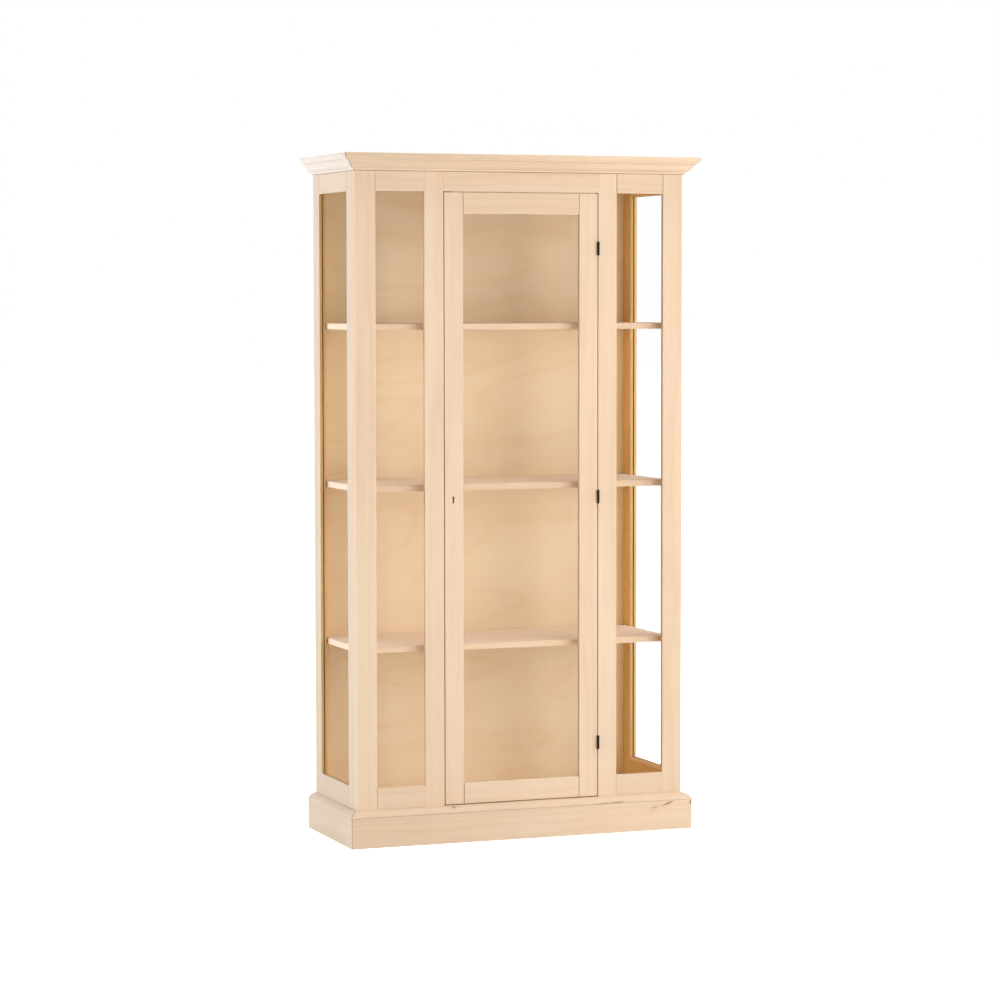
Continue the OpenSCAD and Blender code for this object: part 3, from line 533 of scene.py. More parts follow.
@dataclass(frozen=True)
class TimberFinish(Finish):
    """Unfinished, fine-sanded solid wood."""

    light: Colour = WHITE
    dark: Colour = WHITE
    end: Colour = WHITE
    # Painted highlight: the tone laid along the eased arrises of the wood.
    painted_arris_tone: Colour = WHITE
    # Painted bounce light and shade: a warmer, oranger tone for the faces turned into the cabinet.
    painted_bounce_tone: Colour = (1.25, 0.99, 0.48, 1.0)
    # Dark joint lines, and a painted shadow line under the foot of each moulding.
    joint_and_foot_shadow_line: Colour = srgb(54, 32, 18)
    knot_core: Colour = srgb(98, 66, 44)
    knot_halo: float = 0.35
    ring_spacing: float = 0.0046
    ring_spread: tuple[float, float] = (0.85, 1.2)
    ring_strength: float = 0.24
    fibre_strength: float = 0.30
    fleck_strength: float = 0.20
    grain_roughness: float = 0.12
    pith_distance: float = 0.085
    pith_drift: float = 0.03
    pith_start: tuple[float, float] = (2.0, 9.0)
    tone_spread: float = 0.035
    roughness: float = 0.56
    patch_size: float = 0.25
    smudge: float = 0.09
    wear_and_highlight: float = 0.6
    wear_and_highlight_patches: float = 30.0
    bump_height: float = 0.00012

    def material(self, site: PieceSite, knots: Iterable[Knot] = ()) -> bpy.types.Material:
        """Makes the wood of one piece.

        Args:
            site: The piece that gets the material.
            knots: Knots that show on it.

        Returns:
            The material.
        """
        material, graph, shader, place = self.start(site)
        dice = site.dice()
        about_x, about_y, _ = site.grain.value
        turn = Matrix.Rotation(about_y, 3, "Y") @ Matrix.Rotation(about_x, 3, "X")
        pith = Vector(site.middle)
        pith[site.thin_axis] += self.pith_distance * dice.choice((-1, 1))
        across = next(a for a in range(3) if a not in (site.thin_axis, site.grain.axis))
        pith[across] += dice.uniform(-self.pith_drift, self.pith_drift)
        pith[site.grain.axis] += dice.uniform(*self.pith_start)
        mapped = graph.add("ShaderNodeMapping", {
            "Vector": place, "Rotation": site.grain.value, "Location": tuple(-(turn @ pith))})
        shade = 1 + dice.uniform(-self.tone_spread, self.tone_spread)
        grain = graph.group(self.effects.timber_grain, {
            "Vector": mapped.outputs["Vector"],
            "Ring Spacing": self.ring_spacing * dice.uniform(*self.ring_spread),
            "Ring Strength": self.ring_strength,
            "Fibre Strength": self.fibre_strength,
            "Fleck Strength": self.fleck_strength,
            "Light": self.shaded(self.light, shade),
            "Dark": self.shaded(self.dark, shade)})
        handled = self.handled(graph, place)
        colour = graph.blend(1.0, grain.outputs["Color"], handled.outputs["Shade"], "MULTIPLY")
        colour = graph.blend(graph.mark("end_grain"), colour, self.end, "MULTIPLY")
        # Painted bounce light and shade on the faces marked inward.
        colour = graph.blend(graph.mark("inward"), colour, self.painted_bounce_tone, "MULTIPLY")
        for knot in knots:
            colour = self.with_knot(graph, self.knot_masks(graph, place, site, knot), colour)
        # Painted highlight along the arrises of the wood.
        colour = graph.blend(self.wear_and_highlight_mask(graph, place), colour, self.painted_arris_tone)
        # Dark joints, and the painted shadow line under the foot of a moulding.
        colour = graph.blend(graph.mark("joint"), colour, self.joint_and_foot_shadow_line)
        uneven = graph.math("MULTIPLY", grain.outputs["Roughness"], self.grain_roughness)
        graph.send(shader, {
            "Base Color": colour,
            "Roughness": graph.math("ADD", handled.outputs["Roughness"], uneven, True),
            "Normal": self.relief(graph, grain.outputs["Height"])})
        shader.inputs["Specular IOR Level"].default_value = RAW_WOOD_GLOSS
        return material

    @staticmethod
    def shaded(colour: Colour, shade: float) -> Colour:
        """Makes a colour lighter or darker."""
        return (colour[0] * shade, colour[1] * shade, colour[2] * shade, 1.0)

    def with_knot(self, graph: Graph, masks: bpy.types.Node, colour: Socket) -> Socket:
        """Lays the rings and the core of one knot over the wood's colour."""
        halo = graph.math("MULTIPLY", masks.outputs["Halo"], self.knot_halo)
        return graph.blend(masks.outputs["Mask"], graph.blend(halo, colour, self.dark, "MULTIPLY"),
                           self.knot_core)


@dataclass(frozen=True)
class VeneerFinish(Finish):
    """Thin plywood with a wavy face grain and painted shade towards its left and right edges."""

    light: Colour = WHITE
    dark: Colour = WHITE
    line_strength: float = 0.34
    lines: float = 13.0
    lean: float = math.radians(4.0)
    grain_roughness: float = 0.1
    # Painted shade: the tone and the span of the darker, oranger band towards the left and right edges.
    painted_side_shade: Colour = (1.0, 0.95, 0.80, 1.0)
    side_shade_start: float = 0.70
    side_shade_end: float = 0.94
    roughness: float = 0.6
    patch_size: float = 0.3
    smudge: float = 0.06
    bump_height: float = 0.00008
    bump_strength: float = 0.4

    def material(self, site: PieceSite, knots: Iterable[Knot] = ()) -> bpy.types.Material:
        """Makes the plywood of one panel.

        Args:
            site: The panel.
            knots: Pin knots that show on it.

        Returns:
            The material.
        """
        material, graph, shader, place = self.start(site)
        mapped = graph.add("ShaderNodeMapping", {
            "Vector": place, "Location": tuple(-site.middle), "Rotation": (0.0, self.lean, 0.0)})
        figure = graph.group(self.effects.veneer_figure, {
            "Vector": mapped.outputs["Vector"], "Line Strength": self.line_strength,
            "Lines": self.lines, "Light": self.light, "Dark": self.dark})
        handled = self.handled(graph, place)
        colour = graph.blend(1.0, figure.outputs["Color"], handled.outputs["Shade"], "MULTIPLY")
        # Painted shade: darker and oranger towards the left and right edges of the panel.
        sideways = graph.add("ShaderNodeSeparateXYZ", {"Vector": place}).outputs["X"]
        half = (site.high.x - site.low.x) / 2
        side_shade_mask = graph.step(graph.math("ABSOLUTE", sideways), self.side_shade_start * half,
                               self.side_shade_end * half)
        colour = graph.blend(side_shade_mask, colour, self.painted_side_shade, "MULTIPLY")
        for knot in knots:
            masks = self.knot_masks(graph, place, site, knot)
            colour = graph.blend(masks.outputs["Mask"], colour, self.dark, "MULTIPLY")
        uneven = graph.math("MULTIPLY", figure.outputs["Roughness"], self.grain_roughness)
        graph.send(shader, {
            "Base Color": colour,
            "Roughness": graph.math("ADD", handled.outputs["Roughness"], uneven, True),
            "Normal": self.relief(graph, figure.outputs["Height"])})
        shader.inputs["Specular IOR Level"].default_value = RAW_WOOD_GLOSS
        return material


@dataclass(frozen=True)
class GlassFinish(Finish):
    """Clear float glass with ground edges."""

    tint: Colour = WHITE
    ground: Colour = srgb(206, 228, 220)
    refraction: float = 1.03
    roughness: float = 0.4
    patch_size: float = 0.12
    smudge: float = 0.006

    def material(self, site: PieceSite) -> bpy.types.Material:
        """Makes the glass of one pane.

        Args:
            site: The pane.

        Returns:
            The material, which lets the light of the lamps through.
        """
        material, graph, shader, place = self.start(site)
        handled = self.handled(graph, place)
        arris = graph.mark("arris")
        wiped = graph.blend(1.0, self.tint, handled.outputs["Shade"], "MULTIPLY")
        graph.send(shader, {
            "Base Color": graph.blend(arris, wiped, self.ground),
            "Roughness": graph.math("MULTIPLY", arris, handled.outputs["Roughness"])})
        shader.inputs["Transmission Weight"].default_value = 1.0
        shader.inputs["IOR"].default_value = self.refraction
        clear = graph.add("ShaderNodeBsdfTransparent", {"Color": self.tint})
        shadow = graph.add("ShaderNodeLightPath").outputs["Is Shadow Ray"]
        mixed = graph.add("ShaderNodeMixShader", {0: shadow, 1: shader.outputs["BSDF"],
                                                  2: clear.outputs["BSDF"]})
        output = next(n for n in graph.tree.nodes if n.type == "OUTPUT_MATERIAL")
        graph.send(output, {"Surface": mixed.outputs["Shader"]})
        return material


@dataclass(frozen=True)
class MetalFinish(Finish):
    """Metal with fine scratches, bare at its worn edges."""

    colour: Colour = WHITE
    worn: Colour = WHITE
    metallic: float = 1.0
    scratch: float = 0.25
    roughness: float = 0.35
    patch_size: float = 0.008
    smudge: float = 0.3
    wear_and_highlight: float = 0.8
    wear_and_highlight_patches: float = 400.0
    bump_height: float = 0.00003

    def material(self, site: PieceSite) -> bpy.types.Material:
        """Makes the metal of one piece.

        Args:
            site: The piece.

        Returns:
            The material.
        """
        material, graph, shader, place = self.start(site)
        place = graph.add("ShaderNodeMapping", {
            "Vector": place, "Location": tuple(-site.middle)}).outputs["Vector"]
        brushed = graph.group(self.effects.brushing, {
            "Vector": place, "Strength": self.scratch, "Roughness": self.roughness})
        handled = self.handled(graph, place)
        colour = graph.blend(1.0, self.colour, handled.outputs["Shade"], "MULTIPLY")
        both = graph.math("ADD", brushed.outputs["Roughness"], handled.outputs["Roughness"])
        graph.send(shader, {
            "Base Color": graph.blend(self.wear_and_highlight_mask(graph, place), colour, self.worn),
            "Roughness": graph.math("MULTIPLY", both, 0.5),
            "Normal": self.relief(graph, brushed.outputs["Height"])})
        shader.inputs["Metallic"].default_value = self.metallic
        return material


@dataclass(frozen=True)
class PlasticFinish(Finish):
    """Moulded matt plastic."""

    colour: Colour = srgb(22, 21, 20)
    worn: Colour = srgb(70, 68, 65)
    pits: tuple[float, float, float] = (2500.0, 2500.0, 2500.0)
    roughness: float = 0.55
    patch_size: float = 0.01
    smudge: float = 0.25
    wear_and_highlight: float = 0.35
    wear_and_highlight_patches: float = 300.0
    bump_height: float = 0.00002
    bump_strength: float = 0.4

    def material(self, site: PieceSite) -> bpy.types.Material:
        """Makes the plastic of one piece.

        Args:
            site: The piece.

        Returns:
            The material.
        """
        material, graph, shader, place = self.start(site)
        handled = self.handled(graph, place)
        colour = graph.blend(1.0, self.colour, handled.outputs["Shade"], "MULTIPLY")
        graph.send(shader, {
            "Base Color": graph.blend(self.wear_and_highlight_mask(graph, place), colour, self.worn),
            "Roughness": handled.outputs["Roughness"],
            "Normal": self.relief(graph, graph.noise(place, self.pits))})
        return material


class Finishes:
    """Every finish of the cabinet."""

    def __init__(self, effects: Effects) -> None:
        """Sets the colours and strengths of each finish.

        Args:
            effects: The shared node groups.
        """
        self.pale = TimberFinish(
            "pale_wood", effects, light=srgb(221, 196, 169), dark=srgb(205, 172, 138),
            end=srgb(226, 208, 186), painted_arris_tone=srgb(238, 216, 191))
        # Painted light and shade: the left side is a paler, cooler copy of the pale wood that stands in for
        # the light from the left. The right side is a darker copy that stands in for less light.
        left_lit_copy = TimberFinish(
            "pale_wood_left_painted_light", effects, light=srgb(216, 198, 179), dark=srgb(203, 180, 153),
            end=srgb(226, 208, 186), painted_arris_tone=srgb(244, 232, 218))
        right_shaded_copy = TimberFinish(
            "pale_wood_right_painted_shade", effects, light=srgb(204, 180, 154), dark=srgb(190, 160, 128),
            end=srgb(210, 192, 170), painted_arris_tone=srgb(220, 198, 173))
        # Painted light: the left cornice is a paler, cooler copy of the pale wood that stands in for the
        # light from the left.
        left_cornice_lit_copy = TimberFinish(
            "pale_wood_cornice", effects, light=srgb(226, 215, 205), dark=srgb(217, 201, 187),
            end=srgb(226, 208, 186), painted_arris_tone=srgb(250, 242, 234))
        self.sides = {"front": self.pale, "left": left_lit_copy, "right": right_shaded_copy}
        self.cornices = {"front": self.pale, "left": left_cornice_lit_copy, "right": right_shaded_copy}
        # Painted light: a paler copy of the pale wood for the pieces inside, standing in for more light
        # inside the cabinet.
        self.inner = TimberFinish(
            "inner_wood", effects, light=srgb(251, 231, 208), dark=srgb(241, 210, 178),
            end=srgb(226, 206, 184), painted_arris_tone=srgb(252, 234, 212))
        # Painted light: a paler copy of the pale wood for the shelves, standing in for the light on their
        # tops.
        self.shelf = TimberFinish(
            "shelf_wood_painted_light", effects, light=srgb(254, 236, 218), dark=srgb(246, 217, 190),
            end=srgb(253, 247, 240), painted_arris_tone=srgb(248, 226, 200), painted_bounce_tone=srgb(255, 241, 222),
            joint_and_foot_shadow_line=srgb(240, 214, 184))
        # Painted shade and bounce light: a darker, oranger copy of the wood for the beads, standing in for
        # the shade and the orange bounce light on them behind the glass.
        self.bead = TimberFinish(
            "bead_wood_painted_shade", effects, light=srgb(242, 200, 146), dark=srgb(224, 172, 114),
            end=srgb(226, 206, 184), painted_arris_tone=srgb(250, 216, 170))
        self.plywood = VeneerFinish(
            "plywood", effects, light=srgb(254, 234, 202), dark=srgb(246, 215, 175))
        self.glass = GlassFinish("clear_glass", effects)
        self.bronze = MetalFinish(
            "dark_bronze", effects, colour=srgb(34, 24, 18), worn=srgb(78, 60, 46),
            metallic=0.85, roughness=0.42, scratch=0.2)
        self.brass = MetalFinish(
            "dull_brass", effects, colour=srgb(186, 150, 92), worn=srgb(222, 190, 130),
            roughness=0.36)
        self.dark_brass = MetalFinish(
            "aged_brass", effects, colour=srgb(92, 66, 38), worn=srgb(150, 116, 70),
            metallic=0.9, roughness=0.5)
        self.steel = MetalFinish(
            "zinc_steel", effects, colour=srgb(176, 175, 172), worn=srgb(214, 213, 210),
            roughness=0.38)
        self.plastic = PlasticFinish("black_plastic", effects)


class Cad:
    """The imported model: its nodes, bodies, slots and boxes."""

    def __init__(self) -> None:
        """Loads the model and notes each node's body and slot."""
        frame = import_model()
        record = frame["record"]
        self.nodes: dict[str, bpy.types.Object] = frame["nodes"]
        self.body = {node: body for body, nodes in record["behaviour"]["bodies"].items()
                     for node in nodes}
        self.slot = {part["node"]: part["material_slot"] for part in record["subparts"]}

    def merged(self, node: str) -> bmesh.types.BMesh:
        """Copies a node's mesh, merges its loose triangles and joins its flat faces.

        Args:
            node: The node's name.

        Returns:
            The closed mesh.
        """
        mesh = bmesh.new()
        mesh.from_mesh(self.nodes[node].data)
        bmesh.ops.remove_doubles(mesh, verts=mesh.verts, dist=MERGE_DISTANCE)
        bmesh.ops.dissolve_limit(mesh, angle_limit=FLAT_ANGLE, use_dissolve_boundaries=False,
                                 verts=mesh.verts, edges=mesh.edges)
        return mesh

    def solids(self, node: str) -> list[list[Vector]]:
        """Splits a node into its separate solids.

        Args:
            node: The node's name.

        Returns:
            The corners of each solid.
        """
        mesh = self.merged(node)
        found: list[list[Vector]] = []
        seen: set[int] = set()
        for vert in mesh.verts:
            if vert.index in seen:
                continue
            todo, corners = [vert], []
            seen.add(vert.index)
            while todo:
                here = todo.pop()
                corners.append(here.co.copy())
                for edge in here.link_edges:
                    other = edge.other_vert(here)
                    if other.index not in seen:
                        seen.add(other.index)
                        todo.append(other)
            found.append(corners)
        mesh.free()
        return found


def span(corners: Iterable[Vector]) -> tuple[Vector, Vector]:
    """Finds the box around some points.

    Args:
        corners: The points.

    Returns:
        The box's lowest and highest corner.
    """
    points = list(corners)
    return (Vector(min(p[a] for p in points) for a in range(3)),
            Vector(max(p[a] for p in points) for a in range(3)))


def axis_way(axis: int, sign: float = 1.0) -> Vector:
    """Gives the unit vector along an axis.

    Args:
        axis: The axis's number.
        sign: A number with the sign of the way along it.

    Returns:
        The unit vector.
    """
    way = Vector((0.0, 0.0, 0.0))
    way[axis] = math.copysign(1.0, sign)
    return way


def finished_mesh(shape: bmesh.types.BMesh, name: str) -> bpy.types.Mesh:
    """Turns a shape under work into a mesh.

    Args:
        shape: The shape, which is freed.
        name: The mesh's name.

    Returns:
        The mesh.
    """
    mesh = bpy.data.meshes.new(name)
    shape.to_mesh(mesh)
    shape.free()
    return mesh


def new_object(name: str, data: bpy.types.ID) -> bpy.types.Object:
    """Puts a mesh, light or camera into the scene.

    Args:
        name: The object's name.
        data: What it shows.

    Returns:
        The object.
    """
    thing = bpy.data.objects.new(name, data)
    bpy.context.scene.collection.objects.link(thing)
    return thing


MARKS = ("arris", "end_grain", "joint", "inward")
SHARP_ANGLE = math.radians(28)
SMOOTH_ANGLE = math.radians(24)
END_GRAIN_SHARE = 0.95
SLOPE_SHARE = 0.3
INWARD_SHARE = 0.5
FOOT_SHADOW_REACH = 0.6 * MM


def ease(mesh: bmesh.types.BMesh, width: float, steps: int, grain: Grain | None = None,
         inward: Vector | None = None) -> None:
    """Rounds the sharp outer edges of a mesh and marks its arrises, joint lines and end grain.

    Args:
        mesh: The mesh, which is changed.
        width: How far the rounding reaches from each edge.
        steps: The number of faces across a rounding.
        grain: The way the grain runs, if the piece is wood.
        inward: The way into the cabinet, if the faces turned that way get a painted bounce tone.
    """
    arris, ends, joint, bounce_tone_layer = (mesh.faces.layers.float.new(mark) for mark in MARKS)
    mesh.normal_update()
    sharp = [e for e in mesh.edges
             if len(e.link_faces) == 2 and e.is_convex and e.calc_face_angle() > SHARP_ANGLE]
    made = bmesh.ops.bevel(mesh, geom=sharp, offset=width, segments=steps, profile=0.5,
                           affect="EDGES", clamp_overlap=True)
    mesh.normal_update()
    for face in made["faces"]:
        face[arris] = 1.0
    if grain is None:
        return
    for face in mesh.faces:
        across = abs(face.normal[grain.axis])
        face[ends] = float(across > END_GRAIN_SHARE)
        if face[arris] and across > SLOPE_SHARE:
            face[arris], face[joint] = 0.0, 1.0
        # Marks the faces that get the painted bounce tone.
        if inward is not None:
            face[bounce_tone_layer] = float(face.normal.dot(inward) > INWARD_SHARE)


def shade(mesh: bpy.types.Mesh) -> None:
    """Shades a mesh smooth, apart from its sharp edges."""
    mesh.polygons.foreach_set("use_smooth", [True] * len(mesh.polygons))
    mesh.set_sharp_from_angle(angle=SMOOTH_ANGLE)


def add_piece(name: str, mesh: bpy.types.Mesh, cad: Cad, nodes: Sequence[str],
              material: bpy.types.Material | None = None) -> bpy.types.Object:
    """Puts a finished mesh into the scene in place of the CAD nodes that it stands for.

    Args:
        name: The piece's name.
        mesh: The mesh, with its place in it.
        cad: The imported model.
        nodes: The nodes that the piece replaces, which ride on one body.
        material: Its material, if the mesh has none yet.

    Returns:
        The new object.
    """
    piece = new_object(name, mesh)
    if material is not None:
        mesh.materials.clear()
        mesh.materials.append(material)
    shade(mesh)
    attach(piece, cad.body[nodes[0]])
    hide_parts(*nodes)
    LOG.info("%s: %d faces on %s", name, len(mesh.polygons), cad.body[nodes[0]])
    return piece


class GeometryTool:
    """A Geometry Nodes tree with named inputs, run on one mesh at a time."""

    def __init__(self, tree: bpy.types.NodeTree) -> None:
        """Keeps the tree and the identifiers of its inputs."""
        self.tree = tree
        self.identifiers = {item.name: item.identifier for item in tree.interface.items_tree
                            if item.item_type == "SOCKET" and item.in_out == "INPUT"}

    def run(self, start: bpy.types.Mesh, values: dict) -> bpy.types.Mesh:
        """Runs the tree.

        Args:
            start: The mesh that goes in.
            values: A value for each named input.

        Returns:
            The result as a plain mesh.
        """
        carrier = new_object("carrier", start)
        modifier = carrier.modifiers.new("tool", "NODES")
        modifier.node_group = self.tree
        for name, value in values.items():
            modifier[self.identifiers[name]] = value
        depsgraph = bpy.context.evaluated_depsgraph_get()
        made = bpy.data.meshes.new_from_object(carrier.evaluated_get(depsgraph),
                                               preserve_all_data_layers=True, depsgraph=depsgraph)
        carrier.modifiers.remove(modifier)
        bpy.data.objects.remove(carrier)
        return made


class Tools:
    """The Geometry Nodes trees of the workshop."""

    def __init__(self) -> None:
        """Builds both trees."""
        self.moulding_run = GeometryTool(self._moulding_run())
        self.fastener_set = GeometryTool(self._fastener_set())

    def _moulding_run(self) -> bpy.types.NodeTree:
        """A profile face run along X and cut to a mitre at both ends.

        Returns:
            The group.
        """
        graph, given, result = new_group("moulding_run", "GeometryNodeTree", {
            "Profile": (SocketKind.GEOMETRY, None),
            "Length": (SocketKind.NUMBER, 1.0),
            "Start Mitre": (SocketKind.NUMBER, 0.0),
            "End Mitre": (SocketKind.NUMBER, 0.0),
            "Material": (SocketKind.MATERIAL, None),
        }, {"Geometry": SocketKind.GEOMETRY})
        profile = given.outputs["Profile"]
        run = graph.add("ShaderNodeCombineXYZ", {"X": given.outputs["Length"]}).outputs[0]
        pulled = graph.add("GeometryNodeExtrudeMesh", {
            "Mesh": profile, "Offset": run, "Offset Scale": 1.0, "Individual": False}, mode="FACES")
        capped = graph.add("GeometryNodeJoinGeometry")
        graph.send(capped, {0: pulled.outputs["Mesh"]})
        start_cap = graph.add("GeometryNodeFlipFaces", {"Mesh": profile})
        graph.send(capped, {0: start_cap.outputs[0]})
        closed = graph.add("GeometryNodeMergeByDistance", {"Geometry": capped.outputs[0],
                                                           "Distance": MERGE_DISTANCE})
        parts = graph.add("ShaderNodeSeparateXYZ", {0: graph.add("GeometryNodeInputPosition").outputs[0]})
        out = graph.math("MULTIPLY", parts.outputs["Y"], -1.0)
        at_end = graph.math("GREATER_THAN", parts.outputs["X"],
                            graph.math("MULTIPLY", given.outputs["Length"], 0.5))
        at_start = graph.math("SUBTRACT", 1.0, at_end)
        reach = graph.math("SUBTRACT", graph.math("MULTIPLY", at_end, given.outputs["End Mitre"]),
                           graph.math("MULTIPLY", at_start, given.outputs["Start Mitre"]))
        shift = graph.add("ShaderNodeCombineXYZ", {"X": graph.math("MULTIPLY", reach, out)}).outputs[0]
        cut = graph.add("GeometryNodeSetPosition", {"Geometry": closed.outputs[0], "Offset": shift})
        plain = graph.add("GeometryNodeRealizeInstances", {"Geometry": cut.outputs[0]})
        dressed = graph.add("GeometryNodeSetMaterial", {"Geometry": plain.outputs[0],
                                                        "Material": given.outputs["Material"]})
        graph.send(result, {"Geometry": dressed.outputs[0]})
        return graph.tree

    def _fastener_set(self) -> bpy.types.NodeTree:
        """One fastener put on every point, turned to the point's direction.

        Returns:
            The group.
        """
        graph, given, result = new_group("fastener_set", "GeometryNodeTree", {
            "Points": (SocketKind.GEOMETRY, None),
            "Fastener": (SocketKind.OBJECT, None),
            "Largest Turn": (SocketKind.NUMBER, math.pi),
            "Seed": (SocketKind.WHOLE, 1),
            "Material": (SocketKind.MATERIAL, None),
        }, {"Geometry": SocketKind.GEOMETRY})
        direction = graph.add("GeometryNodeInputNamedAttribute", {"Name": "direction"},
                              data_type="FLOAT_VECTOR").outputs["Attribute"]
        aimed = graph.add("FunctionNodeAlignRotationToVector", {"Vector": direction}, axis="Z")
        chance = graph.add("FunctionNodeRandomValue", {"Seed": given.outputs["Seed"]}, data_type="FLOAT")
        graph.send(chance, {3: given.outputs["Largest Turn"]})
        spin = graph.add("FunctionNodeAxisAngleToRotation", {
            "Axis": (0.0, 0.0, 1.0), "Angle": chance.outputs[1]})
        turned = graph.add("FunctionNodeRotateRotation", {
            "Rotation": aimed.outputs[0], "Rotate By": spin.outputs[0]}, rotation_space="LOCAL")
        fastener = graph.add("GeometryNodeObjectInfo", {"Object": given.outputs["Fastener"]})
        placed = graph.add("GeometryNodeInstanceOnPoints", {
            "Points": given.outputs["Points"], "Instance": fastener.outputs["Geometry"],
            "Rotation": turned.outputs[0]})
        plain = graph.add("GeometryNodeRealizeInstances", {"Geometry": placed.outputs[0]})
        dressed = graph.add("GeometryNodeSetMaterial", {"Geometry": plain.outputs[0],
                                                        "Material": given.outputs["Material"]})
        graph.send(result, {"Geometry": dressed.outputs[0]})
        return graph.tree


def lathe(rings: Sequence[tuple[float, float, float]], sides: int) -> bpy.types.Mesh:
    """Turns a closed shape around Z.

    Args:
        rings: Height, radius, and how deeply four notches cut into the radius, from 0 to 1.
        sides: The number of corners in each ring.

    Returns:
        The closed mesh.
    """
    mesh = bmesh.new()
    loops = []
    for height, radius, notch in rings:
        loop = []
        for i in range(sides):
            angle = 2 * math.pi * i / sides
            reach = radius * (1 - notch * (0.5 - 0.5 * math.cos(4 * angle)))
            loop.append(mesh.verts.new((reach * math.cos(angle), reach * math.sin(angle), height)))
        loops.append(loop)
    for lower, upper in zip(loops, loops[1:]):
        for i in range(sides):
            j = (i + 1) % sides
            mesh.faces.new((lower[i], lower[j], upper[j], upper[i]))
    mesh.faces.new(loops[0][::-1])
    mesh.faces.new(loops[-1])
    bmesh.ops.recalc_face_normals(mesh, faces=mesh.faces)
    return finished_mesh(mesh, "turned")


@dataclass
class Workshop:
    """What every sub-assembly is made with."""

    cad: Cad
    finishes: Finishes
    tools: Tools

    def site(self, node: str, grain: Grain = Grain.ALONG_Z) -> PieceSite:
        """Describes a node to a finish."""
        return PieceSite(node, *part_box(node), grain)

    def eased(self, node: str, material: bpy.types.Material, width: float, steps: int = 2,
              grain: Grain | None = None, inward: Vector | None = None) -> bpy.types.Object:
        """Replaces a node by a copy with eased arrises.

        Args:
            node: The node's name.
            material: The piece's material.
            width: How far the rounding reaches.
            steps: The number of faces across a rounding.
            grain: The way the grain runs, if the piece is wood.
            inward: The way into the cabinet, if the faces turned that way get a painted bounce tone.

        Returns:
            The new piece.
        """
        shape = self.cad.merged(node)
        ease(shape, width, steps, grain, inward)
        name = f"{node}_eased"
        return add_piece(name, finished_mesh(shape, name), self.cad, [node], material)

    def timber(self, nodes: Iterable[str], grain: Grain, finish: TimberFinish | None = None,
               width: float = 0.7 * MM, knots: Iterable[Knot] = (), inward: Vector | None = None) -> None:
        """Dresses pieces of solid wood whose grain runs the same way.

        Args:
            nodes: The pieces' names.
            grain: The way their grain runs.
            finish: Their wood, or the pale wood of the front.
            width: How far the rounding of the arrises reaches.
            knots: Knots that show on them.
            inward: The way into the cabinet, if the faces turned that way get a painted bounce tone.
        """
        for node in nodes:
            material = (finish or self.finishes.pale).material(self.site(node, grain), knots)
            self.eased(node, material, width, grain=grain, inward=inward)

    def metal(self, nodes: Iterable[str], finish: MetalFinish, width: float = 0.15 * MM) -> None:
        """Dresses pieces of sheet, rod or cast metal."""
        for node in nodes:
            self.eased(node, finish.material(self.site(node)), width)

    def moulding(self, name: str, nodes: Sequence[str], profile: Sequence[tuple[float, float]],
                 runs: Sequence[MouldingRun], material: bpy.types.Material, width: float) -> None:
        """Makes moulded sticks and joins them into one piece.

        Args:
            name: The piece's name.
            nodes: The nodes that it replaces.
            profile: The outline, as distance out from the run's line and height above it.
            runs: Where each stick lies.
            material: The wood of the sticks.
            width: How far the rounding of the arrises reaches.
        """
        whole = bmesh.new()
        for mark in MARKS:
            whole.faces.layers.float.new(mark)
        for run in runs:
            face = bmesh.new()
            face.faces.new([face.verts.new((0.0, -out, height)) for out, height in profile])
            face.normal_update()
            if next(iter(face.faces)).normal.x < 0:
                bmesh.ops.reverse_faces(face, faces=face.faces)
            made = self.tools.moulding_run.run(finished_mesh(face, "profile"), {
                "Length": run.length, "Start Mitre": run.start_mitre, "End Mitre": run.end_mitre,
                "Material": material})
            stick = bmesh.new()
            stick.from_mesh(made)
            ease(stick, width, 2, Grain.ALONG_X)
            # Painted shadow line along the foot of the stick.
            self.paint_foot_shadow(stick)
            stick.transform(run.place())
            stick.to_mesh(made)
            stick.free()
            whole.from_mesh(made)
            bpy.data.meshes.remove(made)
        add_piece(name, finished_mesh(whole, name), self.cad, nodes, material)

    @staticmethod
    def paint_foot_shadow(stick: bmesh.types.BMesh) -> None:
        """Marks the lowest arrises of a moulded stick with the dark joint colour, a painted shadow line
        under its foot.

        Args:
            stick: The stick, whose marks are changed.
        """
        arris, joint = (stick.faces.layers.float[mark] for mark in ("arris", "joint"))
        foot = min(vert.co.z for vert in stick.verts)
        for face in stick.faces:
            above = min(vert.co.z for vert in face.verts) - foot
            if face[arris] and face.normal.z < -SLOPE_SHARE and above < FOOT_SHADOW_REACH:
                face[arris], face[joint] = 0.0, 1.0

    def fasteners(self, name: str, node: str, template: FastenerShape, finish: MetalFinish,
                  seed: int) -> None:
        """Puts a detailed fastener in the place of each solid of a node.

        Args:
            name: The piece's name.
            node: The node that holds the fasteners.
            template: The fastener's shape.
            finish: Its metal.
            seed: The seed of the turns of the heads.
        """
        points = bpy.data.meshes.new("places")
        places = [template.seat(corners) for corners in self.cad.solids(node)]
        points.from_pydata([place for place, _ in places], [], [])
        direction = points.attributes.new("direction", "FLOAT_VECTOR", "POINT")
        for i, (_, aim) in enumerate(places):
            direction.data[i].vector = aim
        carrier = new_object("fastener", template.mesh())
        mesh = self.tools.fastener_set.run(points, {
            "Fastener": carrier, "Largest Turn": math.pi / 2, "Seed": seed,
            "Material": finish.material(self.site(node))})
        bpy.data.objects.remove(carrier)
        add_piece(name, mesh, self.cad, [node])


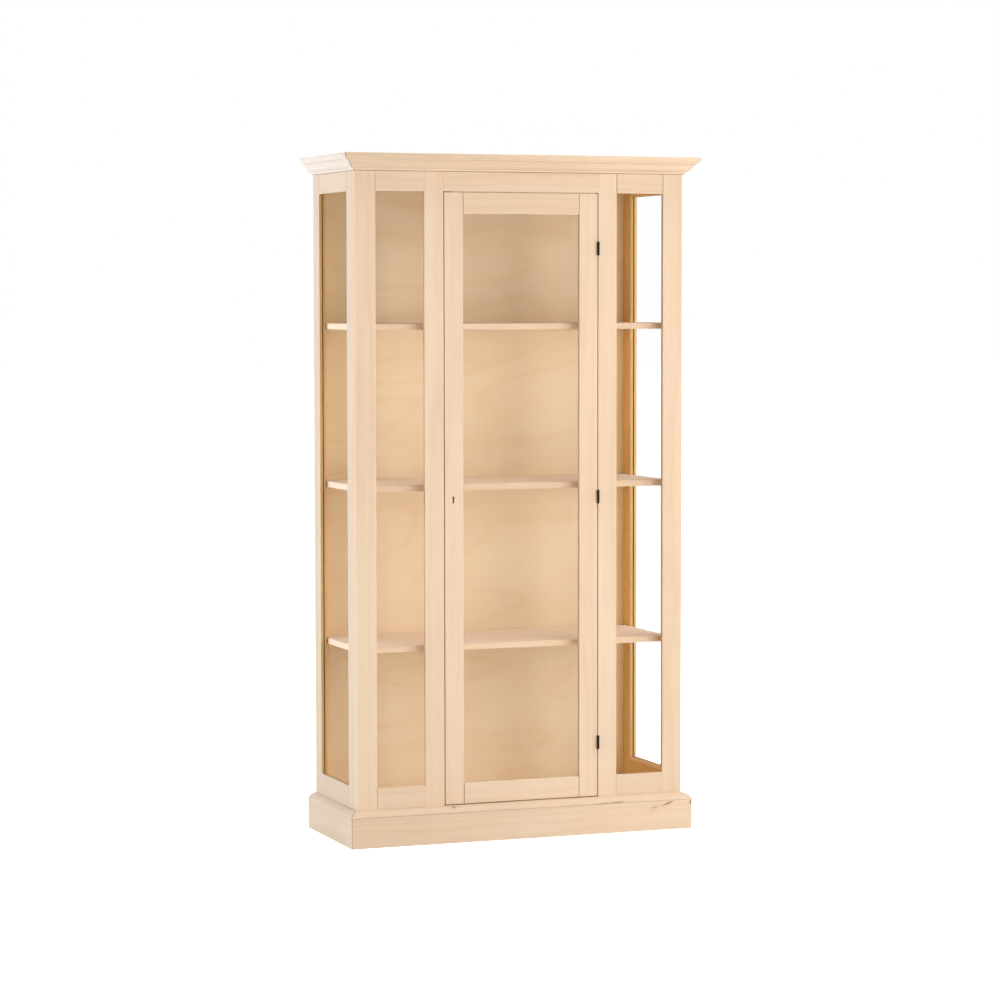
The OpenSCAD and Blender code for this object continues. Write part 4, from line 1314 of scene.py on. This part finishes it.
@dataclass(frozen=True)
class MouldingRun:
    """Where one moulded stick lies."""

    start: Vector
    along: Vector
    up: Vector
    length: float
    start_mitre: float = 0.0
    end_mitre: float = 0.0

    def place(self) -> Matrix:
        """Works out how a stick that lies along X, with its height along Z, gets into place.

        Returns:
            The matrix that moves it there.
        """
        across = self.up.cross(self.along)
        turn = Matrix((self.along, across, self.up)).transposed().to_4x4()
        return Matrix.Translation(self.start) @ turn


@dataclass(frozen=True)
class FastenerShape:
    """A turned fastener that points along +Z from its head at the origin."""

    head_radius: float
    head_height: float
    shank_radius: float
    length: float
    point_length: float
    point_radius: float
    recess: bool = True
    recess_share: float = 0.52
    head_edge: float = 0.12 * MM
    sides: int = 24

    def seat(self, corners: Sequence[Vector]) -> tuple[Vector, Vector]:
        """Finds where a CAD fastener has its head, and the way it points.

        Args:
            corners: The corners of its solid.

        Returns:
            The middle of the head's face and the direction of the point.
        """
        low, high = span(corners)
        size = high - low
        axis = max(range(3), key=lambda a: size[a])
        middle = (low + high) / 2

        def reach(level: float) -> float:
            """Gives the largest radius of the corners at one end."""
            return max((p - middle - (p - middle)[axis] * unit).length
                       for p in corners if abs(p[axis] - level) < 1e-5)

        unit = axis_way(axis)
        head_is_low = reach(low[axis]) >= reach(high[axis])
        head = middle.copy()
        head[axis] = low[axis] if head_is_low else high[axis]
        return head, unit if head_is_low else -unit

    def mesh(self) -> bpy.types.Mesh:
        """Makes the fastener, with a cross recess if it has one.

        Returns:
            The mesh.
        """
        edge = self.head_edge
        rings = [(edge, self.head_radius, 0.0), (self.head_height, self.shank_radius, 0.0),
                 (self.length - self.point_length, self.shank_radius, 0.0),
                 (self.length, self.point_radius, 0.0)]
        top = [(0.0, self.head_radius - edge, 0.0)]
        if self.recess:
            wide = self.head_radius * self.recess_share
            top = [(0.75 * self.head_height, wide * 0.3, 0.3), (0.6 * self.head_height, wide * 0.62, 0.62),
                   (0.0, wide, 0.66)] + top
        return lathe(top + rings, self.sides)


UP = Vector((0.0, 0.0, 1.0))
RIGHT = Vector((1.0, 0.0, 0.0))
BACK = Vector((0.0, 1.0, 0.0))


@dataclass
class Body:
    """The corners of the cabinet's body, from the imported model."""

    left: float
    right: float
    front: float
    back: float

    @classmethod
    def of_frame(cls) -> Body:
        """Reads the body's corners from its stiles.

        Returns:
            The body.
        """
        front_low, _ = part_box("corner_stile_left")
        back_low, back_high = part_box("side_rear_stile_right")
        return cls(front_low.x, back_high.x, front_low.y, back_high.y)

    def runs(self, height: float) -> dict[str, MouldingRun]:
        """Gives the lines of a moulding around the front and the sides.

        Args:
            height: The height of the line.

        Returns:
            The runs of the front, the left and the right.
        """
        width, depth = self.right - self.left, self.back - self.front
        return {
            "front": MouldingRun(Vector((self.left, self.front, height)), RIGHT, UP, width, 1.0, 1.0),
            "left": MouldingRun(Vector((self.left, self.back, height)), -BACK, UP, depth, 0.0, 1.0),
            "right": MouldingRun(Vector((self.right, self.front, height)), BACK, UP, depth, 1.0, 0.0),
        }


@dataclass
class Plinth:
    """The boards on the floor and the rounded moulding on them."""

    shop: Workshop
    body: Body
    board_arris: float = 1.0 * MM
    moulding_arris: float = 0.6 * MM
    edge_height: float = 6 * MM
    quirk: float = 1.2 * MM
    bulge: float = 2.4 * MM
    curve_steps: int = 14
    knots: tuple[Knot, ...] = (
        Knot(0.458, 0.0795, 20 * MM, 2.4 * MM, math.radians(19), 0.80),
        Knot(0.414, 0.0700, 12 * MM, 2.0 * MM, math.radians(14), 0.45),
        Knot(0.408, 0.0600, 9 * MM, 1.6 * MM, math.radians(10), 0.22),
        Knot(0.5320, 0.0790, 3.2 * MM, 6 * MM, 0.0, 0.9),
    )
    moulding_knots: tuple[Knot, ...] = (
        Knot(-0.2184, 0.1035, 7 * MM, 2.4 * MM, 0.0, 0.5),
        Knot(0.262, 0.0905, 55 * MM, 1.3 * MM, math.radians(1), 0.5),
        Knot(0.298, 0.0915, 20 * MM, 1.8 * MM, math.radians(2), 0.6),
    )

    def build(self) -> None:
        """Makes the boards and the mouldings."""
        self.shop.timber(["plinth_front"], Grain.ALONG_X, width=self.board_arris, knots=self.knots)
        for side in ("left", "right"):
            self.shop.timber([f"plinth_{side}"], Grain.ALONG_Y, self.shop.finishes.sides[side],
                             self.board_arris)
        self.shop.timber(["plinth_back"], Grain.ALONG_X, self.shop.finishes.inner)
        for side, run in self.body.runs(0.0).items():
            self.mould(side, run)

    def mould(self, side: str, run: MouldingRun) -> None:
        """Makes the moulding of one side.

        Args:
            side: The side.
            run: The line of the body there.
        """
        node = f"plinth_moulding_{side}"
        low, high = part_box(node)
        out = self.body.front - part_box("plinth_moulding_front")[0].y
        start = Vector((out - self.quirk, low.z + self.edge_height))
        end = Vector((0.0, high.z))
        across = Vector((high.z - start.y, start.x)).normalized() * self.bulge
        curve = [start.lerp(end, i / self.curve_steps) + across * math.sin(math.pi * i / self.curve_steps)
                 for i in range(self.curve_steps + 1)]
        curve = [(point.x, min(point.y, high.z)) for point in curve]
        profile = [(0.0, low.z), (out, low.z), (out, low.z + self.edge_height), *curve]
        grain = Grain.ALONG_X if side == "front" else Grain.ALONG_Y
        knots = self.moulding_knots if side == "front" else ()
        material = self.shop.finishes.sides[side].material(self.shop.site(node, grain), knots)
        self.shop.moulding(f"{node}_run", [node], profile, [run], material, self.moulding_arris)


@dataclass
class Cornice:
    """The mitred cornice, whose face is a double curve between a fillet and a foot."""

    shop: Workshop
    body: Body
    fillet_height: float = 11 * MM
    step: float = 2.2 * MM
    band_height: float = 6 * MM
    foot_height: float = 6 * MM
    foot_out: float = 5 * MM
    wave: float = 2.5 * MM
    wave_steps: int = 28
    arris: float = 0.9 * MM

    def profile(self) -> list[tuple[float, float]]:
        """Works out the outline of the cornice.

        Returns:
            Its corners, as distance out from the body and height.
        """
        low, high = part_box("cornice_front")
        out = self.body.front - low.y
        band_out = out - self.step
        fillet_z = high.z - self.fillet_height
        start = Vector((self.foot_out, low.z + self.foot_height))
        end = Vector((band_out, fillet_z - self.band_height))
        bulge = Vector((0.6, -0.8)) * self.wave
        curve = [start.lerp(end, i / self.wave_steps) + bulge * math.sin(2 * math.pi * i / self.wave_steps)
                 for i in range(self.wave_steps + 1)]
        return [(0.0, low.z), (self.foot_out, low.z), *[tuple(p) for p in curve],
                (band_out, fillet_z), (out, fillet_z), (out, high.z), (0.0, high.z)]

    def build(self) -> None:
        """Makes the three mouldings."""
        profile = self.profile()
        for side, run in self.body.runs(0.0).items():
            node = f"cornice_{side}"
            grain = Grain.ALONG_X if side == "front" else Grain.ALONG_Y
            material = self.shop.finishes.cornices[side].material(self.shop.site(node, grain))
            self.shop.moulding(f"{node}_run", [node], profile, [run], material, self.arris)


@dataclass
class Carcass:
    """Floor panel, battens, top panel, back panel and the rail behind its top."""

    shop: Workshop
    panel_arris: float = 0.5 * MM
    back_knots: tuple[Knot, ...] = (
        Knot(0.0758, 0.4308, 4 * MM, 2.5 * MM, 0.2, 0.5),
        Knot(0.1093, 1.2401, 5 * MM, 2.5 * MM, -0.3, 0.5),
        Knot(-0.300, 1.4700, 4 * MM, 2.2 * MM, 0.1, 0.35),
    )

    def build(self) -> None:
        """Makes the panels."""
        inner = self.shop.finishes.inner
        self.shop.timber(["floor_panel", "back_top_rail"], Grain.ALONG_X, inner)
        self.shop.timber(["floor_battens"], Grain.ALONG_Y, inner)
        self.shop.timber(["top_panel"], Grain.ALONG_X)
        panel = self.shop.site("back_panel", Grain.ALONG_X)
        veneer = self.shop.finishes.plywood.material(panel, self.back_knots)
        self.shop.eased("back_panel", veneer, self.panel_arris)


@dataclass
class FrontFrame:
    """Stiles, mullions and rails of the front."""

    shop: Workshop
    rail_arris: float = 1.5 * MM
    arris: float = 0.95 * MM

    def build(self) -> None:
        """Makes the frame's pieces."""
        self.shop.timber(["corner_stile_left", "corner_stile_right", "mullion_left", "mullion_right"],
                         Grain.ALONG_Z, width=self.arris)
        self.shop.timber(["bay_top_rail_left", "bay_top_rail_right", "bay_bottom_rail_left",
                          "bay_bottom_rail_right", "door_head_rail", "door_sill_rail"],
                         Grain.ALONG_X, width=self.rail_arris)


@dataclass
class SideFrames:
    """Stiles and rails of both sides."""

    shop: Workshop
    rail_arris: float = 1.5 * MM
    arris: float = 0.95 * MM

    def build(self) -> None:
        """Makes the pieces of both sides."""
        # The faces turned into the cabinet get the painted bounce tone.
        for side, inward in (("left", RIGHT), ("right", -RIGHT)):
            finish = self.shop.finishes.sides[side]
            self.shop.timber([f"side_front_stile_{side}"], Grain.ALONG_Z, finish, self.arris, inward=inward)
            self.shop.timber([f"side_rear_stile_{side}"], Grain.ALONG_Z, finish, self.arris,
                             inward=(inward - BACK).normalized())
            self.shop.timber([f"side_top_rail_{side}", f"side_bottom_rail_{side}"], Grain.ALONG_Y,
                             finish, self.rail_arris, inward=inward)


@dataclass
class Glazing:
    """Panes and the mitred wooden beads that hold them."""

    shop: Workshop
    pane_arris: float = 0.35 * MM
    bead_arris: float = 0.25 * MM
    land: float = 2.0 * MM
    quirk_width: float = 0.8 * MM
    quirk_depth: float = 0.8 * MM
    foot: float = 1.6 * MM
    arc_steps: int = 7

    def build(self) -> None:
        """Makes every pane and bead."""
        for node in ("bay_glass_left", "bay_glass_right", "side_glass_left", "side_glass_right",
                     "door_glass"):
            glass = self.shop.finishes.glass.material(self.shop.site(node))
            self.shop.eased(node, glass, self.pane_arris)
        for node in ("bay_glazing_beads", "side_glazing_beads", "door_glazing_beads"):
            self.beads(node)

    def profile(self, width: float, height: float) -> list[tuple[float, float]]:
        """Works out a bead's outline: a land, a quirk and a quarter round.

        Args:
            width: The bead's width.
            height: The bead's height above the glass.

        Returns:
            Its corners, as distance from the rebate's wall and height.
        """
        nose = self.land + self.quirk_width
        round_width, round_height = width - nose, height - self.foot - self.quirk_depth * 0.4
        arc = []
        for i in range(self.arc_steps + 1):
            angle = math.pi / 2 * i / self.arc_steps
            arc.append((nose + round_width * math.cos(angle), self.foot + round_height * math.sin(angle)))
        return [(0.0, 0.0), (width, 0.0), *arc, (nose, height - self.quirk_depth),
                (self.land, height - self.quirk_depth), (self.land, height), (0.0, height)]

    def beads(self, node: str) -> None:
        """Makes the beads of one node, four around each pane.

        Args:
            node: The node that holds them.
        """
        sticks = [span(corners) for corners in self.shop.cad.solids(node)]
        runs, profile = [], []
        for low, high in sticks:
            size = high - low
            long_axis = max(range(3), key=lambda a: size[a])
            normal_axis = 0 if node == "side_glazing_beads" else 1
            middle = (low + high) / 2
            up = axis_way(normal_axis, 1.0 if normal_axis == 1 else -middle.x)
            out_axis = 3 - long_axis - normal_axis
            opening = self.opening_middle(middle, node)
            out = axis_way(out_axis, opening[out_axis] - middle[out_axis])
            along = (-out).cross(up)
            start = Vector(low[a] if (along + up + out)[a] > 0 else high[a] for a in range(3))
            runs.append(MouldingRun(start, along, up, size[long_axis], -1.0, -1.0))
            profile = self.profile(size[out_axis], size[normal_axis])
        material = self.shop.finishes.bead.material(self.shop.site(node, Grain.ALONG_Z))
        self.shop.moulding(f"{node}_sticks", [node], profile, runs, material, self.bead_arris)

    @staticmethod
    def opening_middle(middle: Vector, node: str) -> Vector:
        """Finds the middle of the opening that a stick belongs to.

        Args:
            middle: The middle of the stick.
            node: The node that holds it.

        Returns:
            The middle of the pane in that opening.
        """
        pane = node.replace("glazing_beads", "glass")
        if pane != "door_glass":
            pane += "_left" if middle.x < 0 else "_right"
        low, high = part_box(pane)
        return (low + high) / 2


@dataclass
class Shelves:
    """Three shelves on pins."""

    shop: Workshop
    arris: float = 1.2 * MM
    pin_play: float = 0.01 * MM
    pin_collar: float = 0.5 * MM
    pin_chamfer: float = 0.6 * MM
    pin_nose: float = 0.5 * MM
    pin_seed: int = 3

    def build(self) -> None:
        """Makes the shelves and their pins."""
        # The front edges of the shelves get the painted bounce tone.
        self.shop.timber(["shelf_lower", "shelf_middle", "shelf_upper"], Grain.ALONG_X,
                         self.shop.finishes.shelf, self.arris, inward=-BACK)
        low, high = span(self.shop.cad.solids("shelf_pins")[0])
        radius = (high.z - low.z) / 2
        pin = FastenerShape(radius - self.pin_play, self.pin_collar, radius, high.x - low.x,
                            self.pin_chamfer, radius - self.pin_nose, recess=False)
        self.shop.fasteners("shelf_pins_turned", "shelf_pins", pin, self.shop.finishes.steel,
                            self.pin_seed)


@dataclass
class Door:
    """Stiles and rails of the door."""

    shop: Workshop
    rail_arris: float = 1.5 * MM
    arris: float = 1.0 * MM

    def build(self) -> None:
        """Makes the door's frame."""
        self.shop.timber(["door_lock_stile", "door_hinge_stile"], Grain.ALONG_Z, width=self.arris)
        self.shop.timber(["door_top_rail", "door_bottom_rail"], Grain.ALONG_X, width=self.rail_arris)


@dataclass
class Ironwork:
    """Hinges, lock, strike plate, catch and every screw."""

    shop: Workshop
    head_radius: float = 2.8 * MM
    head_height: float = 1.2 * MM
    shank_radius: float = 1.5 * MM
    screw_length: float = 14 * MM
    point_length: float = 3 * MM
    point_radius: float = 0.4 * MM
    catch_arris: float = 0.3 * MM

    def build(self) -> None:
        """Makes the metal and plastic pieces."""
        finishes = self.shop.finishes
        self.shop.metal(["hinge_frame_leaves", "hinge_door_leaves", "hinge_pins"], finishes.bronze)
        self.shop.metal(["lock_case", "lock_bolt"], finishes.steel)
        self.shop.metal(["strike_plate"], finishes.brass)
        self.shop.metal(["keyhole_liner"], finishes.dark_brass)
        catch = finishes.plastic.material(self.shop.site("door_catch"))
        self.shop.eased("door_catch", catch, self.catch_arris)
        screw = FastenerShape(self.head_radius, self.head_height, self.shank_radius, self.screw_length,
                              self.point_length, self.point_radius)
        for node, seed in (("back_panel_screws", 5), ("frame_screws", 7), ("door_screws", 11)):
            self.shop.fasteners(f"{node}_set", node, screw, finishes.steel, seed)


@dataclass
class Lamp:
    """A soft square lamp, whose level is the share of a white card's brightness at the cabinet."""

    name: str
    place: tuple[float, float, float]
    target: tuple[float, float, float]
    size: float
    level: float
    colour: tuple[float, float, float] = (1.0, 1.0, 1.0)

    def build(self) -> None:
        """Adds the lamp to the scene."""
        light = bpy.data.lights.new(self.name, "AREA")
        away = Vector(self.target) - Vector(self.place)
        light.shape = "SQUARE"
        light.size = self.size
        light.energy = self.level * math.pi ** 2 * away.length_squared
        light.color = self.colour
        lamp = new_object(self.name, light)
        lamp.location = self.place
        lamp.rotation_euler = away.to_track_quat("-Z", "Y").to_euler()
        lamp.visible_camera = False
        lamp.visible_glossy = False
        lamp.visible_transmission = False
        LOG.info("lamp %s: %.0f W", self.name, light.energy)


@dataclass
class Studio:
    """Floor, background, lamps and camera."""

    floor_half: float = 60.0
    floor_drop: float = 0.2 * MM
    floor_colour: Colour = (0.82, 0.82, 0.82, 1.0)
    near_lift: float = 0.86
    far_lift: float = 1.0
    near_reach: float = 0.7
    far_reach: float = 1.6
    ambient: float = 0.12
    camera_place: tuple[float, float, float] = (-3.4165, -9.0160, 1.5878)
    camera_yaw: float = math.radians(-20.7506)
    camera_pitch: float = math.radians(-3.5744)
    camera_roll: float = math.radians(0.074)
    camera_lens: float = 116.783
    camera_reach: float = 200.0
    sensor_width: float = 36.0
    lamps: tuple[Lamp, ...] = (
        Lamp("key", (2.35, -3.95, 2.0), (0.0, -0.1, 1.0), 3.6, 0.78),
        Lamp("front_fill", (-2.6, -4.9, 1.6), (0.0, -0.1, 1.0), 3.0, 0.05),
        Lamp("left_fill", (-4.0, 2.6, 2.4), (-0.5, 0.1, 1.1), 2.2, 0.46, (0.97, 0.99, 1.0)),
        Lamp("left_low", (-5.0, -0.6, 1.6), (0.0, 0.0, 1.0), 2.4, 0.42),
        Lamp("right_fill", (5.0, -1.2, 1.8), (0.0, 0.0, 1.0), 2.4, 0.46),
        Lamp("right_rear", (4.0, 2.6, 1.6), (0.0, 0.0, 1.0), 2.4, 0.38),
        Lamp("rear_fill", (0.4, 4.6, 2.0), (0.0, 0.2, 1.0), 2.4, 0.32),
        Lamp("overhead", (0.3, -0.6, 5.6), (0.0, 0.0, 1.0), 3.0, 0.50),
    )

    def build(self) -> None:
        """Sets up everything around the cabinet."""
        self.world()
        self.floor()
        for lamp in self.lamps:
            lamp.build()
        self.camera()
        bpy.context.scene.view_settings.view_transform = "Standard"

    @staticmethod
    def seen_directly(graph: Graph) -> Socket:
        """Picks the rays of the camera, also by mirror or glass, before any diffuse bounce.

        Args:
            graph: The graph that asks.

        Returns:
            A socket with 1 for these rays and 0 for others.
        """
        path = graph.add("ShaderNodeLightPath")
        direct = graph.math("MAXIMUM", path.outputs["Is Camera Ray"], path.outputs["Is Glossy Ray"])
        direct = graph.math("MAXIMUM", direct, path.outputs["Is Transmission Ray"])
        first = graph.math("LESS_THAN", path.outputs["Diffuse Depth"], 0.5)
        return graph.math("MULTIPLY", direct, first)

    def world(self) -> None:
        """Makes a white background that lights the cabinet only softly."""
        world = bpy.data.worlds.new("studio")
        bpy.context.scene.world = world
        graph = cleared(world)
        soft = graph.add("ShaderNodeBackground", {"Color": WHITE, "Strength": self.ambient})
        white = graph.add("ShaderNodeBackground", {"Color": WHITE, "Strength": 1.0})
        mixed = graph.add("ShaderNodeMixShader", {0: self.seen_directly(graph), 1: soft.outputs[0],
                                                  2: white.outputs[0]})
        graph.add("ShaderNodeOutputWorld", {"Surface": mixed.outputs[0]})

    def floor(self) -> None:
        """Makes a white floor that keeps the cabinet's shadow."""
        mesh = bpy.data.meshes.new("floor")
        half = self.floor_half
        mesh.from_pydata([(-half, -half, 0.0), (half, -half, 0.0), (half, half, 0.0), (-half, half, 0.0)],
                         [], [(0, 1, 2, 3)])
        floor = new_object("floor", mesh)
        floor.location.z = -self.floor_drop
        material = bpy.data.materials.new("pale_floor")
        graph = cleared(material)
        matt = graph.add("ShaderNodeBsdfDiffuse", {"Color": self.floor_colour})
        distance = graph.length(graph.add("ShaderNodeTexCoord").outputs["Object"])
        away = graph.step(distance, self.near_reach, self.far_reach)
        rise = graph.math("MULTIPLY", away, self.far_lift - self.near_lift)
        level = graph.math("ADD", self.near_lift, rise)
        lift = graph.add("ShaderNodeEmission", {
            "Color": WHITE, "Strength": graph.math("MULTIPLY", self.seen_directly(graph), level)})
        both = graph.add("ShaderNodeAddShader", {0: matt.outputs[0], 1: lift.outputs[0]})
        graph.add("ShaderNodeOutputMaterial", {"Surface": both.outputs[0]})
        mesh.materials.append(material)

    def camera(self) -> None:
        """Puts the camera where the photograph was taken."""
        data = bpy.data.cameras.new("camera")
        data.sensor_fit = "HORIZONTAL"
        data.sensor_width = self.sensor_width
        data.lens = self.camera_lens
        data.clip_end = self.camera_reach
        camera = new_object("camera", data)
        camera.location = self.camera_place
        camera.rotation_euler = (math.pi / 2 + self.camera_pitch, self.camera_roll, self.camera_yaw)
        bpy.context.scene.camera = camera


def clear_scene() -> None:
    """Removes what an empty Blender file starts with."""
    for thing in list(bpy.data.objects):
        bpy.data.objects.remove(thing)


def main() -> None:
    """Builds the cabinet and its studio."""
    logging.basicConfig(level=logging.INFO, format="%(name)s: %(message)s")
    clear_scene()
    cad = Cad()
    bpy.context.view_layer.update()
    shop = Workshop(cad, Finishes(Effects()), Tools())
    body = Body.of_frame()
    assemblies = (Plinth(shop, body), Carcass(shop), FrontFrame(shop), SideFrames(shop), Glazing(shop),
                  Shelves(shop), Cornice(shop, body), Door(shop), Ironwork(shop))
    for assembly in assemblies:
        LOG.info("building %s", type(assembly).__name__)
        assembly.build()
    Studio().build()


if __name__ == "__main__":
    main()
